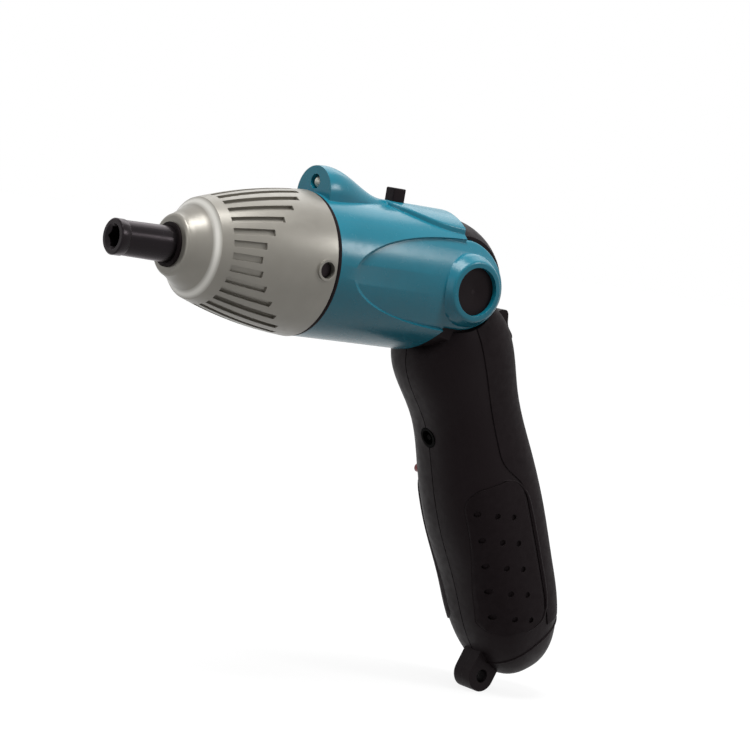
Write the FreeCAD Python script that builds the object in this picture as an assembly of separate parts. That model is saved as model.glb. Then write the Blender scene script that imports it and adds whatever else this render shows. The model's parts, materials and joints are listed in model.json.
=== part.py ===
import FreeCAD, Part
import functools
import math
import os

# A folding cordless screwdriver in its pistol pose. Millimetres, +Z up. The origin is the middle of
# the bit socket's mouth, the spindle runs back along +X, and the grip hangs from a hinge at the rear.

# Bit holder
HEX_FLATS = 6.45
HEX_DEPTH = 13.0
HEX_LEAD_IN = 1.2
HOLDER_RADIUS = 6.0
HOLDER_WAIST = 0.25
HOLDER_LIP = 3.2
HOLDER_EXPOSED = 22.0
HOLDER_EDGE = 0.4
MAGNET_RADIUS = 2.5
MAGNET_LENGTH = 3.0
DRIVE_RADIUS = 4.0
DRIVE_FLAT = 3.2

# Nose cone
NOSE_BACK = 72.4
NOSE_BACK_RADIUS = 24.9
NOSE_MID = 48.0
NOSE_MID_RADIUS = 21.5
NOSE_EDGE = 29.4
NOSE_EDGE_RADIUS = 14.2
NOSE_BAND_RUN = 1.9
NOSE_BAND_RISE = 2.7
NOSE_RING_RADIUS = 10.5
NOSE_RING_ROUND = 1.4
SLOT_COUNT = 28
SLOT_WIDTH = 2.2
SLOT_DEPTH = 1.1
SLOT_START = 35.0
SLOT_SHORT = 10.0
SLOT_EXTRA = 21.5
SEAL_RADIUS = 7.4
SEAL_LENGTH = 2.4
SEAL_PROUD = 0.9
NOSE_SCREW_BACK = 3.8
NOSE_SCREW_HOLE = 2.8
NOSE_SCREW_RIM = 3.6
NOSE_SCREW_RIM_PROUD = 0.35

# Gear train: two planetary stages in one ring gear
MODULE = 0.65
PRESSURE_ANGLE = math.radians(20.0)
SUN_TEETH = 9
PLANET_TEETH = 18
PLANET_COUNT = 3
ADDENDUM = 0.62
DEDENDUM = 0.90
BACKLASH = 0.12
OUTPUT_PLANET_LENGTH = 9.4
INPUT_PLANET_LENGTH = 8.0
PLANET_PIN_RADIUS = 1.5
CARRIER_RADIUS = 12.8
OUTPUT_PLATE = 3.0
INPUT_PLATE = 2.6
RING_WALL = 2.0
RING_KEY_RADIUS = 0.9
RING_KEY_COUNT = 4
BUSH_LENGTH = 10.5
BUSH_WALL = 2.4
CLIP_THICKNESS = 0.8
CLIP_DEPTH = 0.8
CLIP_PROUD = 1.8
DRIVE_SHOULDER = 1.2

# Motor
MOTOR_RADIUS = 13.85
MOTOR_LENGTH = 37.0
MOTOR_BOSS_RADIUS = 5.0
MOTOR_SHAFT_RADIUS = 1.15
MOTOR_SHAFT_SEAT = 8.0
MOTOR_EDGE = 1.2
MOTOR_PLATE = 2.0
MOTOR_SCREW_SPACING = 16.0
MOTOR_SCREW_LENGTH = 6.0
BELL_RADIUS = 12.6
BELL_LENGTH = 3.6
BELL_BOSS_RADIUS = 4.5
BELL_BOSS_LENGTH = 1.6
TERMINAL_SPACING = 14.0
TERMINAL_WIDTH = 4.0
TERMINAL_THICKNESS = 0.6
TERMINAL_LENGTH = 3.2

# Motor housing
BARREL_RADIUS = 24.5
BARREL_WALL = 2.8
BARREL_EDGE = 0.9
PARTING_GAP = 1.0
SPIGOT_RADIUS = 20.6
SPIGOT_WALL = 2.1
RIB_THICKNESS = 2.4
RIB_FROM_MOTOR_ENDS = 15.0
HUMP_FRONT = 76.0
HUMP_HALF_WIDTH = 9.5
HUMP_TOP = 33.6
SPINE_WAIST = 106.0
SPINE_WAIST_HALF_WIDTH = 4.2
SPINE_TOP = 26.0
HOOD_HALF_WIDTH = 15.8
HOOD_BEFORE_PIVOT = 2.5
LOWER_FACE_LEAN = 27.0

# Lamp and its switch
LED_RADIUS = 2.4
LED_HEIGHT = 28.2
LED_LENGTH = 8.4
LED_FLANGE = 0.5
LED_RECESS = 0.5
LAMP_BOARD_THICKNESS = 1.2
LAMP_BOARD_WIDTH = 8.4
LAMP_BOARD_HEIGHT = 9.0
LAMP_POCKET_WALL = 2.6
BUTTON_AT = 110.8
BUTTON_LENGTH = 5.2
BUTTON_WIDTH = 4.8
BUTTON_PROUD = 4.6
BUTTON_FLANGE = 1.0
BUTTON_FLANGE_MARGIN = 1.4
BUTTON_ROOF = 2.8
BUTTON_TRAVEL = 1.2
SWITCH_SIZE = 6.0
SWITCH_HEIGHT = 3.5
SWITCH_PLUNGER_RADIUS = 1.6
SWITCH_PLUNGER_HEIGHT = 0.7
SWITCH_SHELF = 1.6

# Hinge between head and grip
PIVOT_X = 134.0
FOLD_ANGLE = 65.0
HUB_RADIUS = 23.7
HUB_HALF_WIDTH = 15.0
HUB_GAP = 0.5
HUB_WALL = 2.4
HUB_BOSS_RADIUS = 7.5
BULKHEAD = 2.2
WIRE_HOLE_RADIUS = 3.0
EAR_GAP = 0.35
POD_LENGTH = 41.0
POD_RISE = 17.0
POD_REACH = 14.8
POD_FALL = 14.2
POD_EDGE = 1.8
LEAF_AT_PIVOT = 21.5
LEAF_CURVE = 30.0
LEAF_LEAN = 2.1
LEAF_BORDER = 5.0
LEAF_SWEEP = 11.0
BOSS_RADIUS = 12.8
BOSS_RIM_RADIUS = 10.4
BOSS_FLARE = 4.0
BOSS_TOP = 24.6
BOSS_ROUND = 1.3
CAP_RECESS_RADIUS = 8.4
CAP_RECESS_DEPTH = 4.8
CAP_THICKNESS = 1.6
CAP_DISH = 0.6
PIN_RADIUS = 4.0
PIN_HEAD_RADIUS = 6.4
PIN_HEAD = 1.3
PIN_SCREW_RADIUS = 2.0
PIN_SCREW_LENGTH = 14.0
WASHER_RADIUS = 9.0
NOTCH_RADIUS = 1.7
NOTCH_DEPTH = 1.2
NOTCH_ANGLE = 107.0
SPRING_WIDTH = 8.0
SPRING_THICKNESS = 0.4
SPRING_SPAN = 30.0
SPRING_NOSE_SPAN = 4.5
SPRING_POCKET = 1.2

# Grip, along its own axis from the pivot: front, back and half width at each station
GRIP_TOP = -6.0
GRIP_TOP_FRONT = 15.4
GRIP_TOP_BACK = 22.6
GRIP_SHOULDER = 16.0
GRIP_SHOULDER_FRONT = 13.8
GRIP_SHOULDER_BACK = 20.4
GRIP_WAIST = 46.0
GRIP_WAIST_FRONT = 14.7
GRIP_WAIST_BACK = 22.2
GRIP_BELLY = 90.0
GRIP_BELLY_FRONT = 16.3
GRIP_BELLY_BACK = 24.4
GRIP_HEEL = 112.0
GRIP_HEEL_FRONT = 14.4
GRIP_HEEL_BACK = 23.8
GRIP_LENGTH = 153.0
GRIP_HEEL_SQUARENESS = 2.6
GRIP_HALF_WIDTH = 18.2
GRIP_BELLY_HALF_WIDTH = 20.0
GRIP_SQUARENESS = 2.5
GRIP_WALL = 2.4
SEAM_WIDTH = 0.4
SEAM_DEPTH = 0.5
STOP_GAP = 0.5
STOP_LEAN_GAP = 1.0
NUB_ALONG = 147.6
NUB_FRONT = 13.2
NUB_RADIUS = 5.8
NUB_HALF_WIDTH = 4.5
NUB_ROOT = 20.0
LANYARD_RADIUS = 2.5

# Soft grip pieces
PAD_START = 73.0
PAD_END = 131.0
PAD_FRONT = 13.4
PAD_BACK = 8.4
PAD_CORNER = 7.0
PAD_DEPTH = 1.1
PAD_PROUD = 0.5
DIMPLE_RADIUS = 1.1
DIMPLE_DEPTH = 0.7
DIMPLE_ROWS = 5
DIMPLE_COLUMNS = 3
DIMPLE_ROW_PITCH = 10.2
DIMPLE_COLUMN_PITCH = 6.3
DIMPLE_SLANT = 0.42
DIMPLE_FIRST_ROW = 84.0
DIMPLE_FIRST_COLUMN = 4.4
REAR_GRIP_START = 11.0
REAR_GRIP_END = 133.0
REAR_GRIP_HIGH = 2.0
REAR_GRIP_LOW = 10.0
REAR_GRIP_BEND_START = 62.0
REAR_GRIP_BEND_END = 82.0
REAR_GRIP_DEPTH = 1.2
REAR_GRIP_PROUD = 0.3

# Thumb rocker and its switch block
ROCKER_AT = 23.0
ROCKER_LENGTH = 13.0
ROCKER_WIDTH = 15.0
ROCKER_PROUD = 4.4
ROCKER_DIP = 0.9
ROCKER_DEPTH = 8.5
ROCKER_PIN_RADIUS = 1.0
ROCKER_PIN_LENGTH = 19.0
ROCKER_ROOM = 0.9
BLOCK_LENGTH = 15.0
BLOCK_HEIGHT = 8.0
BLOCK_PLATE = 1.6
CHEEK_THICKNESS = 1.7

# Battery, charging and board
CELL_RADIUS = 7.1
CELL_LENGTH = 50.0
CELL_START = 66.0
CELL_NIB_RADIUS = 2.6
CELL_NIB = 0.8
STRAP_THICKNESS = 0.3
STRAP_WIDTH = 6.0
CELL_RIB = 1.8
CELL_RIB_WINDOW = 5.0
JACK_AT = 53.6
JACK_BORE_RADIUS = 2.7
JACK_SLEEVE_RADIUS = 3.7
JACK_BODY_WIDTH = 9.0
JACK_BODY_DEPTH = 10.0
JACK_RECESS = 0.6
JACK_PIN_RADIUS = 1.0
JACK_PIN_LENGTH = 8.0
BOARD_LENGTH = 24.0
BOARD_WIDTH = 18.0
BOARD_THICKNESS = 1.4
LENS_AT = 69.5
LENS_FRONT = 10.5
LENS_RADIUS = 1.6
LENS_FLANGE = 0.7
LENS_PROUD = 0.1

# Fasteners
SCREW_RADIUS = 1.25
SCREW_HEAD_RADIUS = 2.4
SCREW_HEAD = 1.6
SCREW_LENGTH = 16.0
SCREW_SINK = 2.0
SCREW_BOSS_RADIUS = 2.9
HOUSING_SCREWS = ((88.0, 18.0), (88.0, -18.0), (101.0, 18.0), (101.0, -18.0))
GRIP_SCREWS = ((38.0, -7.5), (61.0, 15.0), (127.5, 3.0))

# Clearances
FIT = 0.05
SEAT = 0.15
RUN = 0.3
LOOSE = 0.6

ORIGIN = FreeCAD.Vector(0, 0, 0)
ALONG_X = FreeCAD.Vector(1, 0, 0)
ALONG_Y = FreeCAD.Vector(0, 1, 0)
FAR = 60.0

# Stations along the spindle, worked out from the front backwards
RING_TEETH = SUN_TEETH + 2 * PLANET_TEETH
PLANET_ORBIT = MODULE * (SUN_TEETH + PLANET_TEETH) / 2
RING_ROOT_RADIUS = MODULE * RING_TEETH / 2 + DEDENDUM * MODULE
RING_OUTER_RADIUS = RING_ROOT_RADIUS + RING_WALL
BUSH_FRONT = HOLDER_EXPOSED - SEAL_PROUD + SEAL_LENGTH
BUSH_BACK = BUSH_FRONT + BUSH_LENGTH
CLIP_FRONT = BUSH_BACK + RUN
CLIP_BACK = CLIP_FRONT + CLIP_THICKNESS
OUTPUT_PLATE_FRONT = CLIP_BACK + DRIVE_SHOULDER
OUTPUT_PLATE_BACK = OUTPUT_PLATE_FRONT + OUTPUT_PLATE
OUTPUT_GEAR_FRONT = OUTPUT_PLATE_BACK + RUN
OUTPUT_GEAR_BACK = OUTPUT_GEAR_FRONT + OUTPUT_PLANET_LENGTH
INPUT_PLATE_FRONT = OUTPUT_GEAR_BACK + LOOSE
INPUT_PLATE_BACK = INPUT_PLATE_FRONT + INPUT_PLATE
INPUT_GEAR_FRONT = INPUT_PLATE_BACK + RUN
INPUT_GEAR_BACK = INPUT_GEAR_FRONT + INPUT_PLANET_LENGTH
MOTOR_PLATE_FRONT = INPUT_GEAR_BACK + LOOSE
MOTOR_FRONT = MOTOR_PLATE_FRONT + MOTOR_PLATE
MOTOR_BACK = MOTOR_FRONT + MOTOR_LENGTH
BELL_BACK = MOTOR_BACK + BELL_LENGTH
BARREL_FRONT = NOSE_BACK + PARTING_GAP
NOSE_SCREW_X = NOSE_BACK - NOSE_SCREW_BACK
NOSE_BORE = SPIGOT_RADIUS + SEAT
SEAT_RADIUS = HUB_RADIUS + HUB_GAP
EAR_INNER = HUB_HALF_WIDTH + EAR_GAP
CAP_FLOOR = BOSS_TOP - CAP_RECESS_DEPTH


def vec(x, y, z):
    return FreeCAD.Vector(x, y, z)


def rod_x(radius, start, end, y=0.0, z=0.0):
    return Part.makeCylinder(radius, end - start, vec(start, y, z), ALONG_X)


def rod_y(radius, start, end, x=0.0, z=0.0):
    return Part.makeCylinder(radius, end - start, vec(x, start, z), ALONG_Y)


def block(x, y, z):
    """A box from three (low, high) ranges."""
    return Part.makeBox(x[1] - x[0], y[1] - y[0], z[1] - z[0], vec(x[0], y[0], z[0]))


def turned(points, axis=ALONG_X, centre=ORIGIN):
    """A solid of revolution from (along, radius) corners about a line through centre."""
    if axis == ALONG_X:
        corners = [centre + vec(a, 0, r) for a, r in points]
    else:
        corners = [centre + vec(r, a, 0) for a, r in points]
    face = Part.Face(Part.makePolygon(corners + corners[:1]))
    return upright(face.revolve(centre, axis, 360))


def upright(shape):
    if shape.Volume < 0:
        shape.reverse()
    return shape


def plate_y(corners, start, end):
    """An (x, z) polygon made into a plate from y = start to y = end."""
    points = [vec(x, start, z) for x, z in corners]
    face = Part.Face(Part.makePolygon(points + points[:1]))
    return face.extrude(vec(0, end - start, 0))


def joined(first, *others):
    return first.fuse(list(others)).removeSplitter()


def around_x(shape, degrees):
    turn = shape.copy()
    turn.rotate(ORIGIN, ALONG_X, degrees)
    return turn


def mirrored(shape):
    """The same piece on the other side of the middle plane."""
    return shape.mirror(ORIGIN, ALONG_Y)


def to_photo_pose(shape):
    """Moves a grip piece, modelled straight out behind the pivot, down into the pistol pose."""
    moved = shape.copy()
    moved.rotate(ORIGIN, ALONG_Y, FOLD_ANGLE)
    moved.translate(vec(PIVOT_X, 0, 0))
    return moved


def to_grip_frame(shape):
    """The reverse of to_photo_pose, for cutters that follow the head."""
    moved = shape.copy()
    moved.translate(vec(-PIVOT_X, 0, 0))
    moved.rotate(ORIGIN, ALONG_Y, -FOLD_ANGLE)
    return moved


def save(name, shape):
    shape.exportStep("parts/" + name + ".step")


# Gear teeth

def involute(angle):
    return math.tan(angle) - angle


def tooth_half_angle(radius, teeth, thickness):
    """Half the angle that an involute tooth covers at a radius."""
    pitch_radius = MODULE * teeth / 2
    base_radius = pitch_radius * math.cos(PRESSURE_ANGLE)
    roll = math.acos(base_radius / max(radius, base_radius))
    return thickness / (2 * pitch_radius) + involute(PRESSURE_ANGLE) - involute(roll)


def toothed_disc(teeth, inner, outer, thickness, start, end):
    """A toothed prism along X, with one tooth pointing up."""
    flank = [(r, tooth_half_angle(r, teeth, thickness)) for r in (inner, MODULE * teeth / 2, outer)]
    corners = []
    for tooth in range(teeth):
        middle = 2 * math.pi * tooth / teeth
        for r, half in flank:
            corners.append(vec(start, r * math.sin(middle - half), r * math.cos(middle - half)))
        for r, half in reversed(flank):
            corners.append(vec(start, r * math.sin(middle + half), r * math.cos(middle + half)))
    face = Part.Face(Part.makePolygon(corners + corners[:1]))
    return upright(face.extrude(vec(end - start, 0, 0)))


def spur_gear(teeth, start, end):
    pitch_radius = MODULE * teeth / 2
    thickness = math.pi * MODULE / 2 - BACKLASH
    root = pitch_radius - DEDENDUM * MODULE
    tip = pitch_radius + ADDENDUM * MODULE
    return toothed_disc(teeth, root, tip, thickness, start, end)


def planet_gear(start, end, degrees):
    gear = around_x(spur_gear(PLANET_TEETH, start, end), 180.0 / PLANET_TEETH)
    gear = gear.cut(rod_x(PLANET_PIN_RADIUS + FIT, start, end))
    gear.translate(vec(0, 0, PLANET_ORBIT))
    return around_x(gear, degrees)


def planet_angles():
    return [360.0 * k / PLANET_COUNT for k in range(PLANET_COUNT)]


def planet_pins(start, end):
    pin = rod_x(PLANET_PIN_RADIUS, start, end, 0, PLANET_ORBIT)
    return Part.makeCompound([around_x(pin, a) for a in planet_angles()])


def pin_holes(plate, start, end):
    hole = rod_x(PLANET_PIN_RADIUS + FIT / 2, start, end, 0, PLANET_ORBIT)
    for a in planet_angles():
        plate = plate.cut(around_x(hole, a))
    return plate


def ring_keys(radius, start, end):
    """Round keys that stop the ring gear turning, each between two slots of the nose."""
    key = around_x(rod_x(radius, start, end, 0, -RING_OUTER_RADIUS), 180.0 / SLOT_COUNT)
    return [around_x(key, 360.0 * k / RING_KEY_COUNT) for k in range(RING_KEY_COUNT)]


def ring_gear():
    pitch_radius = MODULE * RING_TEETH / 2
    space = math.pi * MODULE / 2 + BACKLASH
    start = OUTPUT_PLATE_BACK
    end = MOTOR_PLATE_FRONT
    teeth = toothed_disc(RING_TEETH, pitch_radius - ADDENDUM * MODULE, RING_ROOT_RADIUS, space, start, end)
    ring = joined(rod_x(RING_OUTER_RADIUS, start, end), *ring_keys(RING_KEY_RADIUS, start, end))
    return ring.cut(around_x(teeth, 180.0 / RING_TEETH))


# Spindle and gear carriers

def drive_bar(radius, flat, start, end):
    """A round bar with two flats, which keys the spindle to its carrier."""
    return rod_x(radius, start, end).common(block((start, end), (-radius, radius), (-flat, flat)))


def hexagon(flats, start, end):
    corner = flats / math.sqrt(3)
    turns = [k * math.pi / 3 for k in range(6)]
    points = [vec(start, corner * math.cos(a), corner * math.sin(a)) for a in turns]
    return upright(Part.Face(Part.makePolygon(points + points[:1])).extrude(vec(end - start, 0, 0)))


def bit_holder():
    waist = HOLDER_RADIUS - HOLDER_WAIST
    groove = HOLDER_RADIUS - CLIP_DEPTH
    body = turned([
        (0, 0), (0, HOLDER_RADIUS - HOLDER_EDGE), (HOLDER_EDGE, HOLDER_RADIUS), (HOLDER_LIP, HOLDER_RADIUS),
        (HOLDER_LIP + HOLDER_EDGE, waist), (HOLDER_EXPOSED - HOLDER_LIP, HOLDER_RADIUS),
        (CLIP_FRONT - FIT, HOLDER_RADIUS), (CLIP_FRONT - FIT, groove), (CLIP_BACK + FIT, groove),
        (CLIP_BACK + FIT, HOLDER_RADIUS), (OUTPUT_PLATE_FRONT, HOLDER_RADIUS), (OUTPUT_PLATE_FRONT, 0)])
    drive = drive_bar(DRIVE_RADIUS, DRIVE_FLAT, OUTPUT_PLATE_FRONT, OUTPUT_PLATE_BACK)
    corner = HEX_FLATS / math.sqrt(3)
    mouth = corner + HEX_LEAD_IN / 2
    lead_in = turned([(0, 0), (0, mouth), (HEX_LEAD_IN, HEX_FLATS / 2), (HEX_LEAD_IN, 0)])
    socket = hexagon(HEX_FLATS, 0, HEX_DEPTH)
    pocket = rod_x(MAGNET_RADIUS + FIT, HEX_DEPTH, HEX_DEPTH + MAGNET_LENGTH)
    return joined(body, drive).cut([lead_in, socket, pocket])


def output_carrier():
    plate = rod_x(CARRIER_RADIUS, OUTPUT_PLATE_FRONT, OUTPUT_PLATE_BACK)
    key = drive_bar(DRIVE_RADIUS + FIT, DRIVE_FLAT + FIT, OUTPUT_PLATE_FRONT, OUTPUT_PLATE_BACK)
    plate = plate.cut(key)
    return pin_holes(plate, OUTPUT_PLATE_FRONT, OUTPUT_PLATE_BACK)


def input_carrier():
    plate = rod_x(CARRIER_RADIUS, INPUT_PLATE_FRONT, INPUT_PLATE_BACK)
    plate = pin_holes(plate, INPUT_PLATE_FRONT, INPUT_PLATE_BACK)
    return joined(plate, spur_gear(SUN_TEETH, OUTPUT_GEAR_FRONT + RUN, INPUT_PLATE_FRONT))


def ring_of(inner, outer, start, end):
    return rod_x(outer, start, end).cut(rod_x(inner, start, end))


def spindle_clip():
    return ring_of(HOLDER_RADIUS - CLIP_DEPTH + FIT, HOLDER_RADIUS + CLIP_PROUD, CLIP_FRONT, CLIP_BACK)


def motor_pinion():
    start = INPUT_GEAR_FRONT + RUN
    gear = spur_gear(SUN_TEETH, start, INPUT_GEAR_BACK)
    return gear.cut(rod_x(MOTOR_SHAFT_RADIUS, start, INPUT_GEAR_BACK))


def motor_shaft():
    return rod_x(MOTOR_SHAFT_RADIUS, INPUT_GEAR_FRONT + RUN, MOTOR_FRONT + MOTOR_SHAFT_SEAT)


# Motor and its plate

def motor_screw_places():
    return (MOTOR_SCREW_SPACING / 2, -MOTOR_SCREW_SPACING / 2)


def countersunk_screw(z, grow):
    tip = MOTOR_PLATE_FRONT + MOTOR_SCREW_LENGTH
    throat = MOTOR_PLATE_FRONT + SCREW_HEAD_RADIUS - SCREW_RADIUS
    points = [(MOTOR_PLATE_FRONT, 0), (MOTOR_PLATE_FRONT, SCREW_HEAD_RADIUS + grow),
              (throat, SCREW_RADIUS + grow), (tip + grow, SCREW_RADIUS + grow), (tip + grow, 0)]
    return turned(points, ALONG_X, vec(0, 0, z))


def motor_plate():
    plate = rod_x(SPIGOT_RADIUS, MOTOR_PLATE_FRONT, MOTOR_FRONT)
    plate = plate.cut(rod_x(MOTOR_BOSS_RADIUS + FIT, MOTOR_PLATE_FRONT, MOTOR_FRONT))
    return plate.cut([countersunk_screw(z, FIT) for z in motor_screw_places()])


def motor_can():
    can = rod_x(MOTOR_RADIUS, MOTOR_FRONT, MOTOR_BACK)
    can = can.makeFillet(MOTOR_EDGE, [e for e in can.Edges if e.Closed])
    can = joined(can, rod_x(MOTOR_BOSS_RADIUS, MOTOR_PLATE_FRONT, MOTOR_FRONT))
    can = can.cut(rod_x(MOTOR_SHAFT_RADIUS + FIT, MOTOR_PLATE_FRONT, MOTOR_FRONT + MOTOR_SHAFT_SEAT + RUN))
    return can.cut([countersunk_screw(z, FIT) for z in motor_screw_places()])


def motor_end_bell():
    bell = rod_x(BELL_RADIUS, MOTOR_BACK, BELL_BACK)
    return joined(bell, rod_x(BELL_BOSS_RADIUS, BELL_BACK, BELL_BACK + BELL_BOSS_LENGTH))


def motor_terminals():
    tabs = []
    for side in (-1, 1):
        y = side * TERMINAL_SPACING / 2
        tabs.append(block((BELL_BACK, BELL_BACK + TERMINAL_LENGTH),
                          (y - TERMINAL_THICKNESS / 2, y + TERMINAL_THICKNESS / 2),
                          (-TERMINAL_WIDTH / 2, TERMINAL_WIDTH / 2)))
    return Part.makeCompound(tabs)


# Nose cone

def nose_body(inset):
    """The cone's outer form, with its flank drawn inwards by inset."""
    front = HOLDER_EXPOSED
    ring = NOSE_RING_RADIUS - inset
    corners = [vec(front, 0, 0), vec(front, 0, ring - NOSE_RING_ROUND),
               vec(front + NOSE_RING_ROUND, 0, ring), vec(NOSE_EDGE, 0, NOSE_EDGE_RADIUS - inset),
               vec(NOSE_EDGE + NOSE_BAND_RUN, 0, NOSE_EDGE_RADIUS + NOSE_BAND_RISE - inset)]
    bend = NOSE_RING_ROUND * (1 - math.sqrt(0.5))
    edges = [Part.LineSegment(corners[0], corners[1]).toShape(),
             Part.Arc(corners[1], vec(front + bend, 0, ring - bend), corners[2]).toShape(),
             Part.LineSegment(corners[2], corners[3]).toShape(),
             Part.LineSegment(corners[3], corners[4]).toShape()]
    back = vec(NOSE_BACK, 0, NOSE_BACK_RADIUS - inset)
    edges.append(Part.Arc(corners[4], vec(NOSE_MID, 0, NOSE_MID_RADIUS - inset), back).toShape())
    edges.append(Part.LineSegment(back, vec(NOSE_BACK, 0, 0)).toShape())
    edges.append(Part.LineSegment(vec(NOSE_BACK, 0, 0), corners[0]).toShape())
    return upright(Part.Face(Part.Wire(edges)).revolve(ORIGIN, ALONG_X, 360))


def nose_slots():
    """Lengthwise grooves that end on a waisted line: short at the sides, long above and below."""
    cutters = []
    for k in range(SLOT_COUNT):
        angle = 360.0 * k / SLOT_COUNT
        length = SLOT_SHORT + SLOT_EXTRA * math.sin(math.radians(angle)) ** 2
        cutter = block((SLOT_START, SLOT_START + length), (-FAR, 0), (-SLOT_WIDTH / 2, SLOT_WIDTH / 2))
        cutters.append(around_x(cutter, angle))
    return cutters


def nose_screw_rims(radius):
    rims = []
    for side in (-1, 1):
        top = side * (NOSE_BACK_RADIUS + NOSE_SCREW_RIM_PROUD - NOSE_SCREW_BACK * 0.06)
        rims.append(rod_y(radius, min(0, top), max(0, top), NOSE_SCREW_X))
    return rims


def nose_cone():
    cone = nose_body(0)
    core = nose_body(SLOT_DEPTH)
    cone = cone.cut([slot.cut(core) for slot in nose_slots()])
    cone = joined(cone, *nose_screw_rims(NOSE_SCREW_RIM))
    cone = cone.cut(block((NOSE_BACK, NOSE_BACK + FAR), (-FAR, FAR), (-FAR, FAR)))
    bores = [rod_x(HOLDER_RADIUS + LOOSE, HOLDER_EXPOSED, BUSH_BACK),
             rod_x(SEAL_RADIUS, HOLDER_EXPOSED, BUSH_FRONT),
             rod_x(HOLDER_RADIUS + FIT + BUSH_WALL, BUSH_FRONT, BUSH_BACK),
             rod_x(CARRIER_RADIUS + LOOSE, BUSH_BACK, OUTPUT_PLATE_BACK),
             rod_x(RING_OUTER_RADIUS + FIT, OUTPUT_PLATE_BACK, MOTOR_PLATE_FRONT),
             rod_x(NOSE_BORE, MOTOR_PLATE_FRONT, NOSE_BACK)]
    bores += ring_keys(RING_KEY_RADIUS + FIT, OUTPUT_PLATE_BACK, MOTOR_PLATE_FRONT)
    cone = cone.cut(bores)
    seat = NOSE_BORE + SCREW_HEAD / 2
    holes = [rod_y(SCREW_RADIUS + SEAT, -FAR, FAR, NOSE_SCREW_X)]
    holes.append(rod_y(NOSE_SCREW_HOLE, seat, FAR, NOSE_SCREW_X))
    holes.append(rod_y(NOSE_SCREW_HOLE, -FAR, -seat, NOSE_SCREW_X))
    return cone.cut(holes)


def front_bush():
    return ring_of(HOLDER_RADIUS + FIT, HOLDER_RADIUS + FIT + BUSH_WALL, BUSH_FRONT, BUSH_BACK)


def nose_seal():
    return ring_of(HOLDER_RADIUS + FIT, SEAL_RADIUS, BUSH_FRONT - SEAL_LENGTH, BUSH_FRONT)


def side_screw(x, z, head_at, tip_at):
    """A pan-head screw along Y, its head's underside at head_at and its tip at tip_at."""
    way = 1 if head_at > tip_at else -1
    head = rod_y(SCREW_HEAD_RADIUS, min(head_at, head_at + way * SCREW_HEAD),
                 max(head_at, head_at + way * SCREW_HEAD), x, z)
    shank = rod_y(SCREW_RADIUS, min(head_at, tip_at), max(head_at, tip_at), x, z)
    return joined(head, shank)


def nose_screws():
    seat = NOSE_BORE + SCREW_HEAD / 2
    tip = MOTOR_RADIUS + LOOSE + RUN
    right = side_screw(NOSE_SCREW_X, 0, seat, tip)
    return Part.makeCompound([right, mirrored(right)])


# Motor housing

def arch(x, half_width, shoulder, top):
    """A cross section with straight sides and a round top, standing inside the barrel."""
    low = BARREL_RADIUS - 4 * BARREL_WALL
    a = vec(x, -half_width, low)
    b = vec(x, -half_width, shoulder)
    c = vec(x, half_width, shoulder)
    d = vec(x, half_width, low)
    edges = [Part.LineSegment(a, b).toShape(), Part.Arc(b, vec(x, 0, top), c).toShape(),
             Part.LineSegment(c, d).toShape(), Part.LineSegment(d, a).toShape()]
    return Part.Wire(edges)


def lamp_hump():
    """The lamp's hump and the narrow ridge that runs down behind it."""
    fall = HUMP_TOP - SPINE_TOP
    narrow = HUMP_HALF_WIDTH - SPINE_WAIST_HALF_WIDTH
    run = SPINE_WAIST - HUMP_FRONT
    sections = [arch(HUMP_FRONT, HUMP_HALF_WIDTH, BARREL_RADIUS, HUMP_TOP)]
    for along, thin, drop in ((0.3, 0.16, 0.1), (0.62, 0.62, 0.64), (1.0, 1.0, 1.0)):
        sections.append(arch(HUMP_FRONT + along * run, HUMP_HALF_WIDTH - thin * narrow,
                             BARREL_RADIUS - BARREL_EDGE * along, HUMP_TOP - drop * fall))
    return upright(Part.makeLoft(sections, True, False))


def hood():
    """The raised tongue that widens from the lamp button to the hinge."""
    back = PIVOT_X - HOOD_BEFORE_PIVOT
    side = vec(back, HOOD_HALF_WIDTH, 0)
    tip = vec(SPINE_WAIST - BARREL_EDGE, 0, 0)
    ellipse = Part.Ellipse(tip, side, vec(back, 0, 0))
    front = Part.ArcOfEllipse(ellipse, -math.pi / 2, math.pi / 2).toShape()
    other = vec(back, -HOOD_HALF_WIDTH, 0)
    outline = Part.Face(Part.Wire([front, Part.LineSegment(side, other).toShape()]))
    drum = rod_x(SPINE_TOP, tip.x - BARREL_EDGE, back)
    tongue = upright(outline.extrude(vec(0, 0, FAR))).common(drum)
    rim = [e for e in tongue.Edges if len(e.Vertexes) == 2 and e.Length > HOOD_HALF_WIDTH
           and min(v.Z for v in e.Vertexes) > HOOD_HALF_WIDTH / 2 and e.CenterOfMass.x < back - FIT]
    return tongue.makeFillet(BARREL_EDGE, rim)


def quarter(long_end, short_end):
    """A quarter of an ellipse about the pivot, between the ends of its half axes."""
    ellipse = Part.Ellipse(long_end, short_end, vec(PIVOT_X, 0, 0))
    return Part.ArcOfEllipse(ellipse, 0, math.pi / 2).toShape()


def pod_outline(grow):
    """The ear's side outline: a long leaf towards the nose and a short round tail behind the pivot."""
    front = vec(PIVOT_X - POD_LENGTH - grow, 0, 0)
    tail = vec(PIVOT_X + POD_REACH + grow, 0, 0)
    top = vec(PIVOT_X, 0, POD_RISE + grow)
    low = vec(PIVOT_X, 0, -POD_FALL - grow)
    edges = [quarter(front, top), quarter(top, tail), quarter(tail, low), quarter(front, low)]
    return Part.Wire(Part.__sortEdges__(edges))


def pod_prism(grow, start, end):
    face = Part.Face(pod_outline(grow))
    face.translate(vec(0, start, 0))
    return upright(face.extrude(vec(0, end - start, 0)))


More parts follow.
